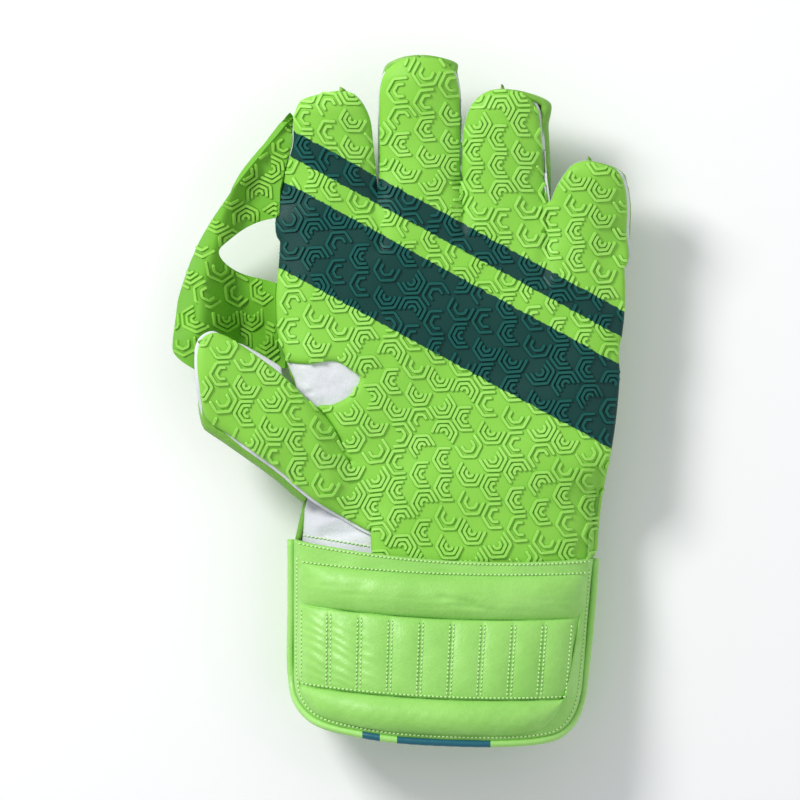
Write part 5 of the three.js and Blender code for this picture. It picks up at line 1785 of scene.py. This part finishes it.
class GloveSizes(bpy.types.PropertyGroup):
    rib_width: length("Rib width", "Width of a moulded rib at half its height", 0.0016)
    rib_height: length("Rib height", "Height of a moulded rib above the rubber", 0.0011)
    motif_pitch: length("Motif pitch", "Distance between neighbouring hexagon motifs", 0.0129)
    edge_roll: length("Edge roll", "How far the rubber's cut edge rolls down", 0.0022)
    stitch_pitch: length("Stitch pitch", "Distance from one stitch to the next", 0.0019)
    stitch_length: length("Stitch length", "Length of a stitch that shows", 0.0014)
    thread: length("Thread", "Thickness of the sewing thread", 0.0009)


class GloveColours(bpy.types.PropertyGroup):
    rubber: colour("Rubber", "Palm rubber in the light", (0.37, 0.75, 0.14))
    rubber_deep: colour("Deep rubber", "Palm rubber where it is worn", (0.31, 0.68, 0.10))
    # Painted shade: the palm rubber between and beside the ribs.
    rubber_valley_shade: colour("Rubber valleys", "Rubber between the ribs", (0.25, 0.60, 0.065))
    web: colour("Web", "Web rubber in the light", (0.28, 0.62, 0.08))
    web_deep: colour("Deep web", "Web rubber where it is worn", (0.22, 0.53, 0.05))
    # Painted shade: the web rubber between and beside the ribs.
    web_valley_shade: colour("Web valleys", "Web rubber between the ribs", (0.15, 0.43, 0.03))
    band: colour("Bands", "The two dark bands across the palm", (0.005, 0.088, 0.075))
    white: colour("White leather", "White leather", (0.74, 0.75, 0.79))
    white_deep: colour("Deep white leather", "White leather in its folds", (0.64, 0.65, 0.70))
    back: colour("Back leather", "Green leather of the finger backs", (0.22, 0.50, 0.055))
    back_deep: colour("Deep back leather", "Back leather where it is worn", (0.16, 0.41, 0.04))
    cuff: colour("Cuff leather", "Green leather of the cuff", (0.325, 0.68, 0.145))
    cuff_deep: colour("Deep cuff leather", "Cuff leather where it is worn", (0.27, 0.61, 0.11))
    piping: colour("Piping", "Green of the corded edge", (0.36, 0.69, 0.18))
    teal: colour("Teal", "Teal stretches of the corded edge", (0.002, 0.11, 0.16))
    thread: colour("Thread", "Sewing thread", (0.58, 0.85, 0.36))
    # Painted shade inside the needle holes.
    hole: colour("Needle holes", "Dark leather where the needle went in", (0.12, 0.35, 0.04))
    floor: colour("Floor", "Plain floor", (0.92, 0.92, 0.92))


class GloveStage(bpy.types.PropertyGroup):
    frame_width: length("Frame width", "Width of the view at the glove", 0.3712)
    glove_height: length("Glove height", "Height that the frame width is measured at", 0.035)
    lens: FloatProperty(name="Lens", description="Focal length of the camera", default=400.0, min=1.0,
                        unit="CAMERA")
    floor_size: length("Floor size", "Side of the square floor", 3.0)


# Operators: one for each piece or group of like pieces, and one for the stage
class GLOVE_OT_materials(bpy.types.Operator):
    """Make the rubber, leather and thread materials"""
    bl_idname = "glove.materials"
    bl_label = "Materials"

    def execute(self, context):
        make_materials(context.scene.glove_colours)
        return {"FINISHED"}


class GLOVE_OT_rubber_faces(bpy.types.Operator):
    """Lay the ribbed rubber over the palm, the four fingers and the thumb"""
    bl_idname = "glove.rubber_faces"
    bl_label = "Rubber faces"

    def execute(self, context):
        build_rubber_faces(context.scene.glove_sizes, MATERIALS)
        return {"FINISHED"}


class GLOVE_OT_white_leather(bpy.types.Operator):
    """Lay the white leather under the rubber faces and between the thumb and the cuff"""
    bl_idname = "glove.white_leather"
    bl_label = "White leather"

    def execute(self, context):
        build_palm_lining(context.scene.glove_sizes, MATERIALS)
        build_thumb_lining(context.scene.glove_sizes, MATERIALS)
        build_gusset(MATERIALS)
        return {"FINISHED"}


class GLOVE_OT_backs(bpy.types.Operator):
    """Make the padded backs of the fingers, the thumb and the hand"""
    bl_idname = "glove.backs"
    bl_label = "Padded backs"

    def execute(self, context):
        build_finger_backs(MATERIALS)
        build_thumb_back(MATERIALS)
        build_hand_back(MATERIALS)
        return {"FINISHED"}


class GLOVE_OT_web(bpy.types.Operator):
    """Make the ribbed web between the thumb and the index finger"""
    bl_idname = "glove.web"
    bl_label = "Web"

    def execute(self, context):
        build_web(context.scene.glove_sizes, MATERIALS)
        return {"FINISHED"}


class GLOVE_OT_cuff(bpy.types.Operator):
    """Make the cuff's walls, its padded rolls and its channel panel"""
    bl_idname = "glove.cuff"
    bl_label = "Cuff"

    def execute(self, context):
        build_cuff_walls(MATERIALS)
        build_cuff_pads(MATERIALS)
        return {"FINISHED"}


class GLOVE_OT_piping(bpy.types.Operator):
    """Make the corded edge of the cuff"""
    bl_idname = "glove.piping"
    bl_label = "Corded edge"

    def execute(self, context):
        build_piping(MATERIALS)
        return {"FINISHED"}


class GLOVE_OT_stitches(bpy.types.Operator):
    """Sew the rows of stitches on the cuff and the gusset"""
    bl_idname = "glove.stitches"
    bl_label = "Stitches"

    def execute(self, context):
        build_stitches(context.scene.glove_sizes, MATERIALS)
        return {"FINISHED"}


class GLOVE_OT_stage(bpy.types.Operator):
    """Set the floor, the soft lights and the camera"""
    bl_idname = "glove.stage"
    bl_label = "Stage"

    def execute(self, context):
        build_stage(context.scene, context.scene.glove_stage, context.scene.glove_colours)
        return {"FINISHED"}


WORLD_COLOUR = (0.95, 0.97, 1.0, 1.0)
WORLD_STRENGTH = 0.52
SENSOR_WIDTH = 36
LIGHTS = (
    {"name": "key", "at": (-0.85, 0.75, 1.05), "size": 0.45, "power": 19.0},
    {"name": "fill", "at": (1.0, -0.3, 1.2), "size": 1.2, "power": 3.5},
)


def build_stage(scene, stage, colours):
    bm = bmesh.new()
    bmesh.ops.create_grid(bm, x_segments=1, y_segments=1, size=stage.floor_size / 2)
    mesh = bpy.data.meshes.new("floor")
    bm.to_mesh(mesh)
    bm.free()
    floor = add_object("floor", mesh)
    material, _, shader, _ = shade("floor", 0.9, specular=0.1)
    shader.inputs["Base Color"].default_value = rgba(colours.floor)
    mesh.materials.append(material)
    for row in LIGHTS:
        data = bpy.data.lights.new(row["name"], "AREA")
        data.energy = row["power"]
        data.size = row["size"]
        light = bpy.data.objects.new(row["name"], data)
        light.location = row["at"]
        light.rotation_euler = (Vector((0, 0, 0.03)) - Vector(row["at"])).to_track_quat("-Z", "Y").to_euler()
        scene.collection.objects.link(light)
    world = bpy.data.worlds.new("studio")
    world.use_nodes = True
    background = world.node_tree.nodes["Background"]
    background.inputs["Color"].default_value = WORLD_COLOUR
    background.inputs["Strength"].default_value = WORLD_STRENGTH
    scene.world = world
    scene.view_settings.view_transform = "Standard"
    data = bpy.data.cameras.new("camera")
    data.lens = stage.lens
    data.sensor_width = SENSOR_WIDTH
    camera = bpy.data.objects.new("camera", data)
    distance = stage.frame_width * data.lens / data.sensor_width
    camera.location = (0, 0, stage.glove_height + distance)
    scene.collection.objects.link(camera)
    scene.camera = camera


class GLOVE_PT_panel(bpy.types.Panel):
    bl_idname = "GLOVE_PT_panel"
    bl_label = "Wicketkeeping glove"
    bl_space_type = "VIEW_3D"
    bl_region_type = "UI"
    bl_category = "Glove"

    def draw(self, context):
        scene = context.scene
        for group in (scene.glove_sizes, scene.glove_colours, scene.glove_stage):
            box = self.layout.box()
            for name in group.bl_rna.properties.keys():
                if name not in ("rna_type", "name"):
                    box.prop(group, name)
        for operator in OPERATORS:
            self.layout.operator(operator.bl_idname)


GROUPS = {"glove_sizes": GloveSizes, "glove_colours": GloveColours, "glove_stage": GloveStage}
OPERATORS = (GLOVE_OT_materials, GLOVE_OT_rubber_faces, GLOVE_OT_white_leather, GLOVE_OT_backs,
             GLOVE_OT_web, GLOVE_OT_cuff, GLOVE_OT_piping, GLOVE_OT_stitches, GLOVE_OT_stage)


def register():
    for name, group in GROUPS.items():
        bpy.utils.register_class(group)
        setattr(bpy.types.Scene, name, PointerProperty(type=group))
    for item in (*OPERATORS, GLOVE_PT_panel):
        bpy.utils.register_class(item)


def unregister():
    for item in (GLOVE_PT_panel, *reversed(OPERATORS)):
        bpy.utils.unregister_class(item)
    for name, group in GROUPS.items():
        delattr(bpy.types.Scene, name)
        bpy.utils.unregister_class(group)


def main():
    register()
    for operator in OPERATORS:
        group, name = operator.bl_idname.split(".")
        getattr(getattr(bpy.ops, group), name)()


if __name__ == "__main__":
    main()
